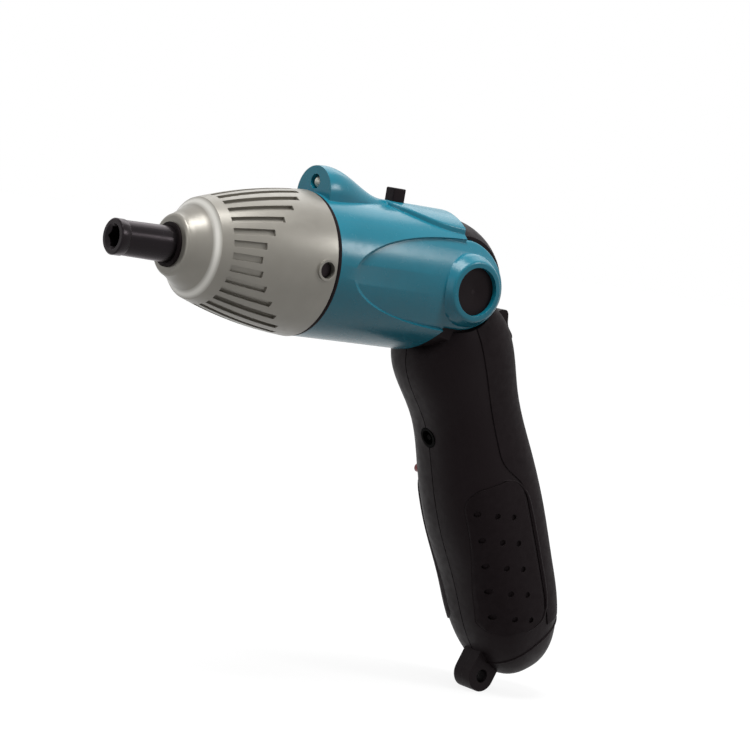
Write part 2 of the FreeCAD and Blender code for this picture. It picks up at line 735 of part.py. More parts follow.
def leaf_drum():
    """A wide drum, leaning slightly inwards to the rear, whose right side is the face of the ear."""
    drum = rod_x(LEAF_CURVE, -2 * FAR, 2 * FAR)
    drum.rotate(ORIGIN, vec(0, 0, 1), -LEAF_LEAN)
    drum.translate(vec(PIVOT_X, LEAF_AT_PIVOT - LEAF_CURVE, 0))
    return drum


def leaf_recess():
    """The sunk leaf on the right of the barrel, as a cutter: its border slopes most gently at the front."""
    floor = pod_outline(0)
    floor.translate(vec(0, EAR_INNER + POD_EDGE, 0))
    rim = pod_outline(LEAF_BORDER)
    rim.translate(vec(-LEAF_SWEEP, BOSS_TOP + POD_EDGE, 0))
    return upright(Part.makeLoft([floor, rim], True, True)).cut(leaf_drum())


def pod():
    """The right hinge ear: a plate with a gently curved face and a rounded rim."""
    ear = pod_prism(0, EAR_INNER, FAR).common(leaf_drum())
    rim = [e for e in ear.Edges if min(v.Y for v in e.Vertexes) > EAR_INNER + FIT and on_outline(e)]
    return ear.makeFillet(POD_EDGE, rim)


def on_outline(edge):
    """Whether an edge of an ear lies on its side outline."""
    middle = edge.valueAt((edge.FirstParameter + edge.LastParameter) / 2)
    along = (middle.x - PIVOT_X) / (POD_LENGTH if middle.x < PIVOT_X else POD_REACH)
    across = middle.z / (POD_RISE if middle.z > 0 else POD_FALL)
    return abs(along ** 2 + across ** 2 - 1) < FIT


def boss_ring():
    """The tapered collar round the right end of the hinge, with a rounded rim."""
    foot = BOSS_TOP - BOSS_FLARE
    points = [(EAR_INNER, 0), (EAR_INNER, BOSS_RADIUS), (foot, BOSS_RADIUS),
              (BOSS_TOP, BOSS_RIM_RADIUS), (BOSS_TOP, 0)]
    ring = turned(points, ALONG_Y, vec(PIVOT_X, 0, 0))
    top = [e for e in ring.Edges if abs(e.CenterOfMass.y - BOSS_TOP) < FIT and e.Closed]
    return ring.makeFillet(BOSS_ROUND, top)


def half_space_behind_lower_face(lean):
    """Everything behind a plane through the pivot that leans forward below it."""
    way = math.radians(lean)
    foot = (PIVOT_X - FAR * math.sin(way), -FAR * math.cos(way))
    corners = [(PIVOT_X, 0), foot, (PIVOT_X + FAR, foot[1]), (PIVOT_X + FAR, 0)]
    return plate_y(corners, -FAR, FAR)


def barrel():
    body = rod_x(BARREL_RADIUS, BARREL_FRONT, PIVOT_X + HUB_RADIUS)
    front_edge = [e for e in body.Edges if abs(e.CenterOfMass.x - BARREL_FRONT) < FIT]
    body = body.makeFillet(BARREL_EDGE, front_edge)
    body = joined(body, lamp_hump(), hood())
    behind = block((PIVOT_X - HOOD_BEFORE_PIVOT, PIVOT_X + FAR), (-FAR, FAR), (-FAR, FAR))
    return body.cut([behind, half_space_behind_lower_face(LOWER_FACE_LEAN)])


def spigot():
    start = MOTOR_FRONT
    return ring_of(SPIGOT_RADIUS - SPIGOT_WALL, SPIGOT_RADIUS, start, BARREL_FRONT + BARREL_WALL)


def spigot_bosses():
    outer = SPIGOT_RADIUS - SPIGOT_WALL / 2
    inner = MOTOR_RADIUS + LOOSE
    return [rod_y(SCREW_BOSS_RADIUS, inner, outer, NOSE_SCREW_X),
            rod_y(SCREW_BOSS_RADIUS, -outer, -inner, NOSE_SCREW_X)]


def housing_cavity():
    inner = rod_x(BARREL_RADIUS - BARREL_WALL, BARREL_FRONT + BARREL_WALL, PIVOT_X)
    mouth = rod_x(SPIGOT_RADIUS - SPIGOT_WALL, BARREL_FRONT, BARREL_FRONT + BARREL_WALL)
    inner = inner.cut(rod_y(SEAT_RADIUS + BULKHEAD, -FAR, FAR, PIVOT_X))
    return joined(inner, mouth)


def motor_ribs():
    outer = BARREL_RADIUS - BARREL_WALL + RUN
    first = MOTOR_FRONT + RIB_FROM_MOTOR_ENDS + RIB_THICKNESS
    second = MOTOR_BACK - RIB_FROM_MOTOR_ENDS / 2
    return [ring_of(MOTOR_RADIUS + FIT, outer, x, x + RIB_THICKNESS) for x in (first, second)]


def screw_boss(x, z, half_length):
    return rod_y(SCREW_BOSS_RADIUS, -half_length, half_length, x, z)


def lamp_pocket():
    back = HUMP_FRONT + LAMP_POCKET_WALL + LED_LENGTH - LED_FLANGE
    top = LED_HEIGHT + LED_RADIUS + LED_FLANGE
    half = LAMP_BOARD_WIDTH / 2 + FIT
    return block((HUMP_FRONT + LAMP_POCKET_WALL, back), (-half, half), (0, top + FIT))


def button_room():
    half_x = BUTTON_LENGTH / 2 + BUTTON_FLANGE_MARGIN + RUN
    half_y = BUTTON_WIDTH / 2 + BUTTON_FLANGE_MARGIN + RUN
    x = (BUTTON_AT - half_x, BUTTON_AT + half_x)
    return block(x, (-half_y, half_y), (switch_top() - LOOSE, SPINE_TOP - BUTTON_ROOF))


def switch_top():
    """Top of the lamp switch's body, under the pressed button."""
    flange_low = SPINE_TOP - BUTTON_ROOF - RUN - BUTTON_FLANGE
    return flange_low - BUTTON_TRAVEL - SWITCH_PLUNGER_HEIGHT - RUN


def switch_pocket():
    half = SWITCH_SIZE / 2 + FIT
    x = (BUTTON_AT - half, BUTTON_AT + half)
    return block(x, (-half, half), (switch_top() - SWITCH_HEIGHT, switch_top()))


def switch_shelf():
    """The ledge under the lamp switch, which grows out of the bulkhead."""
    top = switch_top() - SWITCH_HEIGHT
    half = SWITCH_SIZE / 2 + SWITCH_SHELF
    shelf = block((BUTTON_AT - half, PIVOT_X), (-half, half), (top - SWITCH_SHELF, top))
    return shelf.cut(rod_y(SEAT_RADIUS, -FAR, FAR, PIVOT_X))


def spring_pocket():
    middle = math.radians(NOTCH_ANGLE)
    half = math.radians(SPRING_SPAN / 2 + 1.0)
    outer = SEAT_RADIUS + SPRING_POCKET
    wedge = [(PIVOT_X, 0)]
    for angle in (middle - half, middle, middle + half):
        wedge.append((PIVOT_X + FAR * math.cos(angle), FAR * math.sin(angle)))
    half_width = SPRING_WIDTH / 2 + RUN
    return rod_y(outer, -half_width, half_width, PIVOT_X).common(plate_y(wedge, -half_width, half_width))


def cap_recess(side):
    ends = sorted((side * CAP_FLOOR, side * FAR))
    return rod_y(CAP_RECESS_RADIUS, ends[0], ends[1], PIVOT_X)


def motor_housing():
    shell = joined(barrel(), pod(), mirrored(pod()))
    shell = shell.cut([leaf_recess(), mirrored(leaf_recess())])
    shell = joined(shell, boss_ring(), mirrored(boss_ring()))
    seat = ball_slice(SEAT_RADIUS, EAR_INNER)
    seat.translate(vec(PIVOT_X, 0, 0))
    slot = block((PIVOT_X, PIVOT_X + FAR), (-EAR_INNER, EAR_INNER), (-FAR, FAR))
    shell = shell.cut([seat, slot])
    shell = shell.cut(housing_cavity())
    inner_skin = rod_x(BARREL_RADIUS - BARREL_WALL + RUN, BARREL_FRONT, PIVOT_X)
    bosses = [screw_boss(x, z, FAR).common(inner_skin) for x, z in HOUSING_SCREWS]
    shell = joined(shell, spigot(), *spigot_bosses(), *motor_ribs(), *bosses, switch_shelf())
    cuts = [lamp_pocket(), button_room(), switch_pocket(), spring_pocket(), cap_recess(1), cap_recess(-1),
            rod_y(PIN_RADIUS + FIT, -FAR, FAR, PIVOT_X),
            rod_x(WIRE_HOLE_RADIUS, MOTOR_BACK, PIVOT_X),
            rod_x(MOTOR_RADIUS + FIT, MOTOR_FRONT, MOTOR_BACK),
            rod_x(LED_RADIUS + SEAT, HUMP_FRONT - LOOSE, HUMP_FRONT + LAMP_POCKET_WALL, 0, LED_HEIGHT),
            rod_y(SCREW_RADIUS + FIT, -FAR, FAR, NOSE_SCREW_X)]
    half_x = BUTTON_LENGTH / 2 + RUN
    half_y = BUTTON_WIDTH / 2 + RUN
    cuts.append(block((BUTTON_AT - half_x, BUTTON_AT + half_x), (-half_y, half_y), (switch_top(), FAR)))
    cuts += screw_holes(HOUSING_SCREWS, BARREL_RADIUS)
    return shell.cut(cuts)


def screw_head_seat():
    return SCREW_LENGTH / 2


def screw_holes(places, reach):
    """A blind pilot hole to the left and a sunk head's hole to the right of the middle plane."""
    holes = []
    for x, z in places:
        holes.append(rod_y(SCREW_RADIUS + FIT, -screw_head_seat() - RUN, screw_head_seat(), x, z))
        holes.append(rod_y(SCREW_HEAD_RADIUS + SEAT, screw_head_seat(), reach + SCREW_SINK, x, z))
    return holes


def screw_set(places):
    return [side_screw(x, z, screw_head_seat(), -screw_head_seat()) for x, z in places]


def half_of(shape, side):
    """The left or right half of a moulding that is split along the middle plane."""
    ends = (0, FAR) if side > 0 else (-FAR, 0)
    half = shape.common(block((-FAR, 4 * FAR), ends, (-4 * FAR, FAR)))
    return max(half.Solids, key=lambda solid: solid.Volume)


# Lamp

def led_lamp():
    front = HUMP_FRONT + LED_RECESS
    flange = front + LED_LENGTH - LED_FLANGE - LED_RECESS
    tip = LED_RADIUS
    lens = Part.makeSphere(tip, vec(front + tip, 0, LED_HEIGHT))
    body = rod_x(tip, front + tip, flange, 0, LED_HEIGHT)
    return joined(lens, body, rod_x(tip + LED_FLANGE - FIT, flange - LED_FLANGE, flange, 0, LED_HEIGHT))


def lamp_board():
    start = HUMP_FRONT + LED_LENGTH - LED_FLANGE
    top = LED_HEIGHT + LED_RADIUS
    half = LAMP_BOARD_WIDTH / 2
    return block((start, start + LAMP_BOARD_THICKNESS), (-half, half), (top - LAMP_BOARD_HEIGHT, top))


def lamp_button():
    roof = SPINE_TOP - BUTTON_ROOF
    half_x = BUTTON_LENGTH / 2
    half_y = BUTTON_WIDTH / 2
    m = BUTTON_FLANGE_MARGIN
    flange_top = roof - RUN
    stem = block((BUTTON_AT - half_x, BUTTON_AT + half_x), (-half_y, half_y),
                 (flange_top, SPINE_TOP + BUTTON_PROUD))
    upper = [e for e in stem.Edges if e.CenterOfMass.z > SPINE_TOP]
    stem = stem.makeFillet(BARREL_EDGE / 2, upper)
    flange = block((BUTTON_AT - half_x - m, BUTTON_AT + half_x + m), (-half_y - m, half_y + m),
                   (flange_top - BUTTON_FLANGE, flange_top))
    return joined(stem, flange)


def lamp_switch():
    half = SWITCH_SIZE / 2
    top = switch_top()
    body = block((BUTTON_AT - half, BUTTON_AT + half), (-half, half), (top - SWITCH_HEIGHT, top))
    plunger = Part.makeCylinder(SWITCH_PLUNGER_RADIUS, SWITCH_PLUNGER_HEIGHT, vec(BUTTON_AT, 0, top))
    return joined(body, plunger)


# Hinge

def detent_spring():
    """A leaf spring whose bent nose drops into the notches of the grip's hub."""
    outer = SEAT_RADIUS + SPRING_POCKET - FIT
    inner = outer - SPRING_THICKNESS
    dip = HUB_RADIUS - NOTCH_DEPTH + RUN
    half = SPRING_SPAN / 2
    nose = SPRING_NOSE_SPAN / 2
    lower = [(-half, inner), (-nose, inner), (0, dip), (nose, inner), (half, inner)]
    upper = [(half, outer), (nose, outer), (0, dip + SPRING_THICKNESS), (-nose, outer), (-half, outer)]
    corners = []
    for offset, radius in lower + upper:
        angle = math.radians(NOTCH_ANGLE + offset)
        corners.append((PIVOT_X + radius * math.cos(angle), radius * math.sin(angle)))
    return plate_y(corners, -SPRING_WIDTH / 2, SPRING_WIDTH / 2)


def pivot_pin():
    points = [(-CAP_FLOOR - PIN_HEAD, 0), (-CAP_FLOOR - PIN_HEAD, PIN_HEAD_RADIUS),
              (-CAP_FLOOR, PIN_HEAD_RADIUS), (-CAP_FLOOR, PIN_RADIUS),
              (CAP_FLOOR, PIN_RADIUS), (CAP_FLOOR, 0)]
    pin = turned(points, ALONG_Y, vec(PIVOT_X, 0, 0))
    return pin.cut(rod_y(PIN_SCREW_RADIUS + FIT, CAP_FLOOR - PIN_SCREW_LENGTH - RUN, CAP_FLOOR, PIVOT_X))


def pivot_screw():
    points = [(CAP_FLOOR - PIN_SCREW_LENGTH, 0), (CAP_FLOOR - PIN_SCREW_LENGTH, PIN_SCREW_RADIUS),
              (CAP_FLOOR, PIN_SCREW_RADIUS), (CAP_FLOOR, PIN_HEAD_RADIUS),
              (CAP_FLOOR + PIN_HEAD, PIN_HEAD_RADIUS), (CAP_FLOOR + PIN_HEAD, 0)]
    return turned(points, ALONG_Y, vec(PIVOT_X, 0, 0))


def pivot_cap(side):
    """A dished cover disc pressed into the hinge recess."""
    radius = CAP_RECESS_RADIUS - FIT
    low = CAP_FLOOR + PIN_HEAD + FIT
    high = low + CAP_THICKNESS
    points = [(low, 0), (low, radius), (high, radius), (high, 0.8 * radius), (high - CAP_DISH, 0)]
    return turned([(side * a, r) for a, r in points], ALONG_Y, vec(PIVOT_X, 0, 0))


def pivot_washers():
    thickness = EAR_GAP - 2 * FIT
    low = HUB_HALF_WIDTH + FIT
    outer = rod_y(WASHER_RADIUS, low, low + thickness, PIVOT_X)
    right = outer.cut(rod_y(PIN_RADIUS + FIT, low, low + thickness, PIVOT_X))
    return Part.makeCompound([right, mirrored(right)])


# Grip, modelled straight along +X behind the pivot with its back upwards

def grip_stations():
    """(along, front, back, half width) from the hinge to the rounded heel."""
    middle = (GRIP_WAIST + GRIP_BELLY) / 2
    middle_front = (GRIP_WAIST_FRONT + GRIP_BELLY_FRONT) / 2
    middle_back = (GRIP_WAIST_BACK + GRIP_BELLY_BACK) / 2
    middle_width = (GRIP_HALF_WIDTH + GRIP_BELLY_HALF_WIDTH) / 2
    stations = [(GRIP_TOP, GRIP_TOP_FRONT, GRIP_TOP_BACK, GRIP_HALF_WIDTH),
                (GRIP_SHOULDER, GRIP_SHOULDER_FRONT, GRIP_SHOULDER_BACK, GRIP_HALF_WIDTH),
                (GRIP_WAIST, GRIP_WAIST_FRONT, GRIP_WAIST_BACK, GRIP_HALF_WIDTH),
                (middle, middle_front, middle_back, middle_width),
                (GRIP_BELLY, GRIP_BELLY_FRONT, GRIP_BELLY_BACK, GRIP_BELLY_HALF_WIDTH),
                (GRIP_HEEL, GRIP_HEEL_FRONT, GRIP_HEEL_BACK, GRIP_BELLY_HALF_WIDTH)]
    centre = (GRIP_HEEL_BACK - GRIP_HEEL_FRONT) / 2
    half = (GRIP_HEEL_BACK + GRIP_HEEL_FRONT) / 2
    for share in (0.35, 0.6, 0.8, 0.92, 0.985):
        size = (1 - share ** GRIP_HEEL_SQUARENESS) ** (1 / GRIP_HEEL_SQUARENESS)
        along = GRIP_HEEL + share * (GRIP_LENGTH - GRIP_HEEL)
        stations.append((along, half * size - centre, half * size + centre, GRIP_BELLY_HALF_WIDTH * size))
    return stations


def grip_section(along, front, back, half_width):
    """A rounded-square ring across the grip, as one closed curve."""
    centre = (back - front) / 2
    half = (back + front) / 2
    power = 2 / GRIP_SQUARENESS
    points = []
    for k in range(16):
        angle = 2 * math.pi * k / 16
        c = math.cos(angle)
        s = math.sin(angle)
        y = half_width * math.copysign(abs(c) ** power, c)
        z = centre + half * math.copysign(abs(s) ** power, s)
        points.append(vec(along, y, z))
    curve = Part.BSplineCurve()
    curve.interpolate(Points=points, PeriodicFlag=True)
    return Part.Wire([curve.toShape()])


@functools.lru_cache(None)
def grip_form(inset):
    """The grip's outer form, drawn inwards by inset."""
    sections = []
    for along, front, back, half_width in grip_stations():
        room = min(inset, 0.8 * half_width)
        end = along - inset if along > GRIP_HEEL else along
        sections.append(grip_section(end, front - room, back - room, half_width - room))
    return upright(Part.makeLoft(sections, True, False))


def lanyard_nub(hole):
    """The looped lug at the front of the heel, or the hole through it."""
    if hole:
        return rod_y(LANYARD_RADIUS, -FAR, FAR, NUB_ALONG, -NUB_FRONT)
    way = math.atan2(NUB_FRONT, 0.6 * NUB_ROOT)
    root = (NUB_ALONG - NUB_ROOT * math.cos(way), -NUB_FRONT + NUB_ROOT * math.sin(way))
    tip = (NUB_ALONG, -NUB_FRONT)
    across = (NUB_RADIUS * math.sin(way), NUB_RADIUS * math.cos(way))
    web = plate_y([(tip[0] + across[0], tip[1] + across[1]), (root[0] + across[0], root[1] + across[1]),
                   (root[0] - across[0], root[1] - across[1]), (tip[0] - across[0], tip[1] - across[1])],
                  -NUB_HALF_WIDTH, NUB_HALF_WIDTH)
    lug = joined(rod_y(NUB_RADIUS, -NUB_HALF_WIDTH, NUB_HALF_WIDTH, tip[0], tip[1]), web)
    return lug


def ear_clearance():
    """The space that the head's ears take up beside the hub, at both ends of the fold."""
    spaces = []
    for ends in ((-FAR, -HUB_HALF_WIDTH), (HUB_HALF_WIDTH, FAR)):
        folded = to_grip_frame(pod_prism(HUB_GAP, *ends))
        straight = folded.copy()
        straight.rotate(ORIGIN, ALONG_Y, FOLD_ANGLE)
        spaces += [folded, straight]
    return spaces


def front_of_lower_face():
    """Everything ahead of the face that meets the head's lower rear face."""
    way = math.radians(LOWER_FACE_LEAN - STOP_LEAN_GAP)
    foot = (PIVOT_X - FAR * math.sin(way), -FAR * math.cos(way))
    ahead = PIVOT_X - 2 * FAR
    corners = [(PIVOT_X, 0), foot, (ahead, foot[1]), (ahead, FAR), (PIVOT_X, FAR)]
    wedge = to_grip_frame(plate_y(corners, -FAR, FAR))
    return wedge.common(block((-2 * FAR, 2 * FAR), (-FAR, FAR), (-2 * FAR, 0)))


def ball_slice(radius, half_width):
    """The middle slice of a ball at the origin, between two side planes."""
    ball = Part.makeSphere(radius, ORIGIN, ALONG_Y)
    return ball.common(rod_y(radius + FIT, -half_width, half_width))


def hub():
    body = ball_slice(HUB_RADIUS, HUB_HALF_WIDTH)
    notches = []
    for angle in (NOTCH_ANGLE, NOTCH_ANGLE - FOLD_ANGLE):
        way = math.radians(angle + FOLD_ANGLE)
        reach = HUB_RADIUS - NOTCH_DEPTH + NOTCH_RADIUS
        notches.append(rod_y(NOTCH_RADIUS, -FAR, FAR, reach * math.cos(way), reach * math.sin(way)))
    return body.cut(notches)


def grip_outer():
    body = grip_form(0)
    above = block((-FAR, -HOOD_BEFORE_PIVOT + STOP_GAP), (-FAR, FAR), (-FAR, FAR))
    body = body.cut([above, front_of_lower_face()])
    body = body.cut(ear_clearance())
    return joined(body, hub(), lanyard_nub(False))


def hub_hollow():
    half = HUB_HALF_WIDTH - HUB_WALL
    hollow = ball_slice(HUB_RADIUS - HUB_WALL - NOTCH_DEPTH, half)
    throat = block((0, neck_end()), (-half, half),
                   (-GRIP_SHOULDER_FRONT + GRIP_WALL, GRIP_SHOULDER_BACK - REAR_GRIP_DEPTH - GRIP_WALL))
    return joined(hollow, throat).cut(rod_y(HUB_BOSS_RADIUS, -half, half))


def neck_end():
    """Where the hollow widens from the hub's width to the whole grip."""
    return POD_RISE + HUB_GAP + GRIP_WALL


def cell_centre():
    return (GRIP_BELLY_BACK - GRIP_BELLY_FRONT) / 2


def cell_ribs():
    """Cross walls that hold the cells at both ends, with a window for the leads."""
    ribs = []
    gap = STRAP_THICKNESS + CELL_NIB + FIT
    inner = grip_form(GRIP_WALL - SEAT)
    for start in (CELL_START - gap - CELL_RIB, CELL_START + CELL_LENGTH + gap):
        slab = block((start, start + CELL_RIB), (-FAR, FAR), (-FAR, FAR)).common(inner)
        window = Part.makeCylinder(CELL_RIB_WINDOW, CELL_RIB, vec(start, 0, cell_centre()), ALONG_X)
        ribs.append(slab.cut(window))
    return ribs


def pad_prism(side, grow):
    """The side pad's outline as a prism with rounded corners."""
    x = (PAD_START - grow, PAD_END + grow)
    z = (-PAD_FRONT - grow, PAD_BACK + grow)
    ends = (0, FAR) if side > 0 else (-FAR, 0)
    prism = block(x, ends, z)
    corners = [e for e in prism.Edges if abs(e.Vertexes[0].Y - e.Vertexes[1].Y) > FIT]
    return prism.makeFillet(PAD_CORNER, corners)


def grip_pad(side):
    raised = grip_form(-PAD_PROUD).common(pad_prism(side, 0))
    pad = raised.cut(grip_form(PAD_DEPTH))
    dimples = []
    for row in range(DIMPLE_ROWS):
        for column in range(DIMPLE_COLUMNS):
            across = (column - 1) * DIMPLE_COLUMN_PITCH
            x = DIMPLE_FIRST_ROW + row * DIMPLE_ROW_PITCH + across * DIMPLE_SLANT
            dimples.append(rod_y(DIMPLE_RADIUS, -FAR, FAR, x, across - DIMPLE_FIRST_COLUMN))
    floor = grip_form(DIMPLE_DEPTH - PAD_PROUD)
    return pad.cut([d.cut(floor) for d in dimples])


def rear_region(grow):
    """The back of the grip behind a stepped side line, as a prism through both sides."""
    start = REAR_GRIP_START - grow
    end = REAR_GRIP_END + grow
    high = REAR_GRIP_HIGH - grow
    low = REAR_GRIP_LOW - grow
    middle = (REAR_GRIP_BEND_START + REAR_GRIP_BEND_END) / 2
    points = [vec(start, 0, high), vec(REAR_GRIP_BEND_START, 0, high), vec(middle, 0, (high + low) / 2),
              vec(REAR_GRIP_BEND_END, 0, low), vec(end, 0, low)]
    bend = Part.BSplineCurve()
    bend.interpolate(points[1:4], InitialTangent=ALONG_X, FinalTangent=ALONG_X)
    edges = [Part.LineSegment(points[0], points[1]).toShape(), bend.toShape(),
             Part.LineSegment(points[3], points[4]).toShape(),
             Part.makePolygon([points[4], vec(end, 0, FAR), vec(start, 0, FAR), points[0]])]
    face = Part.Face(Part.Wire(Part.__sortEdges__([e for s in edges for e in s.Edges])))
    face.translate(vec(0, -FAR, 0))
    return upright(face.extrude(vec(0, 2 * FAR, 0)))


def rocker_hole(grow):
    half_x = ROCKER_LENGTH / 2 + grow
    half_y = ROCKER_WIDTH / 2 + grow
    return block((ROCKER_AT - half_x, ROCKER_AT + half_x), (-half_y, half_y), (0, FAR))


def rear_grip():
    skin = grip_form(-REAR_GRIP_PROUD).cut(grip_form(REAR_GRIP_DEPTH))
    piece = skin.common(rear_region(0)).cut(ear_clearance())
    return piece.cut(rocker_hole(ROCKER_ROOM))


def surface_y(along, front):
    """Half the grip's width at a height in front of its axis, on the straight run of its belly."""
    stations = grip_stations()
    for a, b in zip(stations, stations[1:]):
        if a[0] <= along <= b[0]:
            share = (along - a[0]) / (b[0] - a[0])
            near, far, half_width = (a[k] + share * (b[k] - a[k]) for k in (1, 2, 3))
    centre = (far - near) / 2
    half = (far + near) / 2
    level = abs(-front - centre) / half
    return half_width * (1 - level ** GRIP_SQUARENESS) ** (1 / GRIP_SQUARENESS)


def front_surface(along):
    """Depth of the grip's front below its axis near the waist."""
    share = (along - GRIP_WAIST) / (GRIP_BELLY - GRIP_WAIST)
    return GRIP_WAIST_FRONT + share * (GRIP_BELLY_FRONT - GRIP_WAIST_FRONT)


def upright_rod(radius, x, low, high):
    return Part.makeCylinder(radius, high - low, vec(x, 0, low))


def jack_nose():
    return -front_surface(JACK_AT) + JACK_RECESS


def grip_shells():
    outer = grip_outer()
    hollow = grip_form(GRIP_WALL).common(block((neck_end(), 4 * FAR), (-FAR, FAR), (-FAR, FAR)))
    shell = outer.cut([hollow, hub_hollow()])
    core = grip_form(GRIP_WALL / 2)
    bosses = [screw_boss(x, z, FAR).common(core) for x, z in GRIP_SCREWS]
    shell = joined(shell, *bosses, *cell_ribs())
    soft_recess = grip_form(PAD_DEPTH)
    cuts = [pad_prism(1, 0).cut(soft_recess), pad_prism(-1, 0).cut(soft_recess),
            rear_region(0).cut(grip_form(REAR_GRIP_DEPTH)), rocker_hole(ROCKER_ROOM),
            lanyard_nub(True), rod_y(PIN_RADIUS + FIT, -FAR, FAR),
            upright_rod(JACK_SLEEVE_RADIUS + SEAT, JACK_AT, -FAR, jack_nose() + GRIP_WALL + LOOSE),
            rod_y(LENS_RADIUS + FIT, 0, FAR, LENS_AT, -LENS_FRONT)]
    cuts += screw_holes(GRIP_SCREWS, GRIP_BELLY_HALF_WIDTH)
    seam = block((GRIP_SHOULDER, GRIP_LENGTH), (-SEAM_WIDTH / 2, SEAM_WIDTH / 2), (-FAR, 0))
    cuts.append(seam.cut(grip_form(SEAM_DEPTH)).cut(lanyard_nub(False)))
    return shell.cut(cuts)


def rocker_pivot_height():
    return GRIP_SHOULDER_BACK - ROCKER_DEPTH + ROCKER_PIN_RADIUS + CHEEK_THICKNESS / 2


def thumb_rocker():
    """A two-lobed forward and reverse key on its own cross pin."""
    top = GRIP_SHOULDER_BACK + ROCKER_PROUD
    half = ROCKER_LENGTH / 2
    foot = GRIP_SHOULDER_BACK - ROCKER_DEPTH
    rim = GRIP_SHOULDER_BACK - REAR_GRIP_DEPTH
    lobe = half * 0.55
    dip = vec(ROCKER_AT, 0, top - ROCKER_DIP)
    left = vec(ROCKER_AT - half, 0, rim)
    right = vec(ROCKER_AT + half, 0, rim)
    crown = Part.BSplineCurve()
    crown.interpolate([left, vec(ROCKER_AT - lobe, 0, top), dip, vec(ROCKER_AT + lobe, 0, top), right])
    inner = half / 2
    base = Part.makePolygon([right, vec(ROCKER_AT + inner, 0, foot), vec(ROCKER_AT - inner, 0, foot), left])
    face = Part.Face(Part.Wire([crown.toShape(), base]))
    face.translate(vec(0, -ROCKER_WIDTH / 2, 0))
    key = upright(face.extrude(vec(0, ROCKER_WIDTH, 0)))
    reach = ROCKER_PIN_LENGTH / 2
    pin = rod_y(ROCKER_PIN_RADIUS, -reach, reach, ROCKER_AT, rocker_pivot_height())
    return joined(key, pin)


def switch_block():
    """The power switch under the rocker, with two cheeks that carry the rocker's pin."""
    top = GRIP_SHOULDER_BACK - ROCKER_DEPTH - ROCKER_ROOM
    low = top - BLOCK_HEIGHT
    half = BLOCK_LENGTH / 2
    half_width = HUB_HALF_WIDTH - HUB_WALL - RUN
    x = (ROCKER_AT - half, ROCKER_AT + half)
    body = block(x, (-ROCKER_WIDTH / 2, ROCKER_WIDTH / 2), (low, top))
    plate = block(x, (-half_width, half_width), (low, low + BLOCK_PLATE))
    pieces = []
    inner = ROCKER_WIDTH / 2 + FIT + RUN
    pin_height = rocker_pivot_height()
    for side in (-1, 1):
        ends = sorted((side * inner, side * (inner + CHEEK_THICKNESS)))
        cheek = block((ROCKER_AT - 3 * ROCKER_PIN_RADIUS, ROCKER_AT + 3 * ROCKER_PIN_RADIUS), ends,
                      (low, pin_height + 2 * ROCKER_PIN_RADIUS))
        pieces.append(cheek.cut(rod_y(ROCKER_PIN_RADIUS + FIT, ends[0], ends[1], ROCKER_AT, pin_height)))
    return joined(body, plate, *pieces)


def battery_cells():
    cells = []
    spread = CELL_RADIUS + FIT
    for y in (-spread, spread):
        for z in (-spread, spread):
            height = cell_centre() + z
            can = rod_x(CELL_RADIUS, CELL_START, CELL_START + CELL_LENGTH, y, height)
            end = CELL_START if y * z > 0 else CELL_START + CELL_LENGTH
            nib = rod_x(CELL_NIB_RADIUS, min(end, end - CELL_NIB if y * z > 0 else end),
                        end if y * z > 0 else end + CELL_NIB, y, height)
            cells.append(joined(can, nib))
    return Part.makeCompound(cells)


def cell_straps():
    """Nickel strips that join the cells in series, across one end and both sides of the other."""
    spread = CELL_RADIUS + FIT
    reach = spread + STRAP_WIDTH / 2
    half = STRAP_WIDTH / 2
    start = CELL_START - CELL_NIB - STRAP_THICKNESS
    end = CELL_START + CELL_LENGTH + CELL_NIB
    middle = cell_centre()
    straps = []
    upright_run = (middle - reach, middle + reach)
    for y in (-spread, spread):
        straps.append(block((start, start + STRAP_THICKNESS), (y - half, y + half), upright_run))
    upper_run = (middle + spread - half, middle + spread + half)
    straps.append(block((end, end + STRAP_THICKNESS), (-reach, reach), upper_run))
    return Part.makeCompound(straps)


def charge_socket():
    nose = jack_nose()
    shoulder = nose + GRIP_WALL
    half = JACK_BODY_WIDTH / 2
    face = shoulder + LOOSE
    body = block((JACK_AT - half, JACK_AT + half), (-half, half), (face, face + JACK_BODY_DEPTH))
    sleeve = upright_rod(JACK_SLEEVE_RADIUS, JACK_AT, nose, face)
    socket = joined(body, sleeve)
    bore = upright_rod(JACK_BORE_RADIUS, JACK_AT, nose, nose + JACK_PIN_LENGTH + LOOSE)
    return socket.cut(bore)


def charge_pin():
    floor = jack_nose() + JACK_PIN_LENGTH + LOOSE
    return upright_rod(JACK_PIN_RADIUS, JACK_AT, floor - JACK_PIN_LENGTH, floor)


def circuit_board():
    low = jack_nose() + GRIP_WALL + LOOSE + JACK_BODY_DEPTH
    half_x = BOARD_LENGTH / 2
    half_y = BOARD_WIDTH / 2
    x = (JACK_AT - half_x, JACK_AT + half_x - LOOSE * 6)
    return block(x, (-half_y, half_y), (low, low + BOARD_THICKNESS))


def indicator_lens():
    face = surface_y(LENS_AT, LENS_FRONT)
    inner = face - GRIP_WALL - 2 * LENS_FLANGE
    lens = rod_y(LENS_RADIUS, inner, face + LENS_PROUD, LENS_AT, -LENS_FRONT)
    return lens


os.makedirs("parts", exist_ok=True)

housing = motor_housing()
shells = grip_shells()

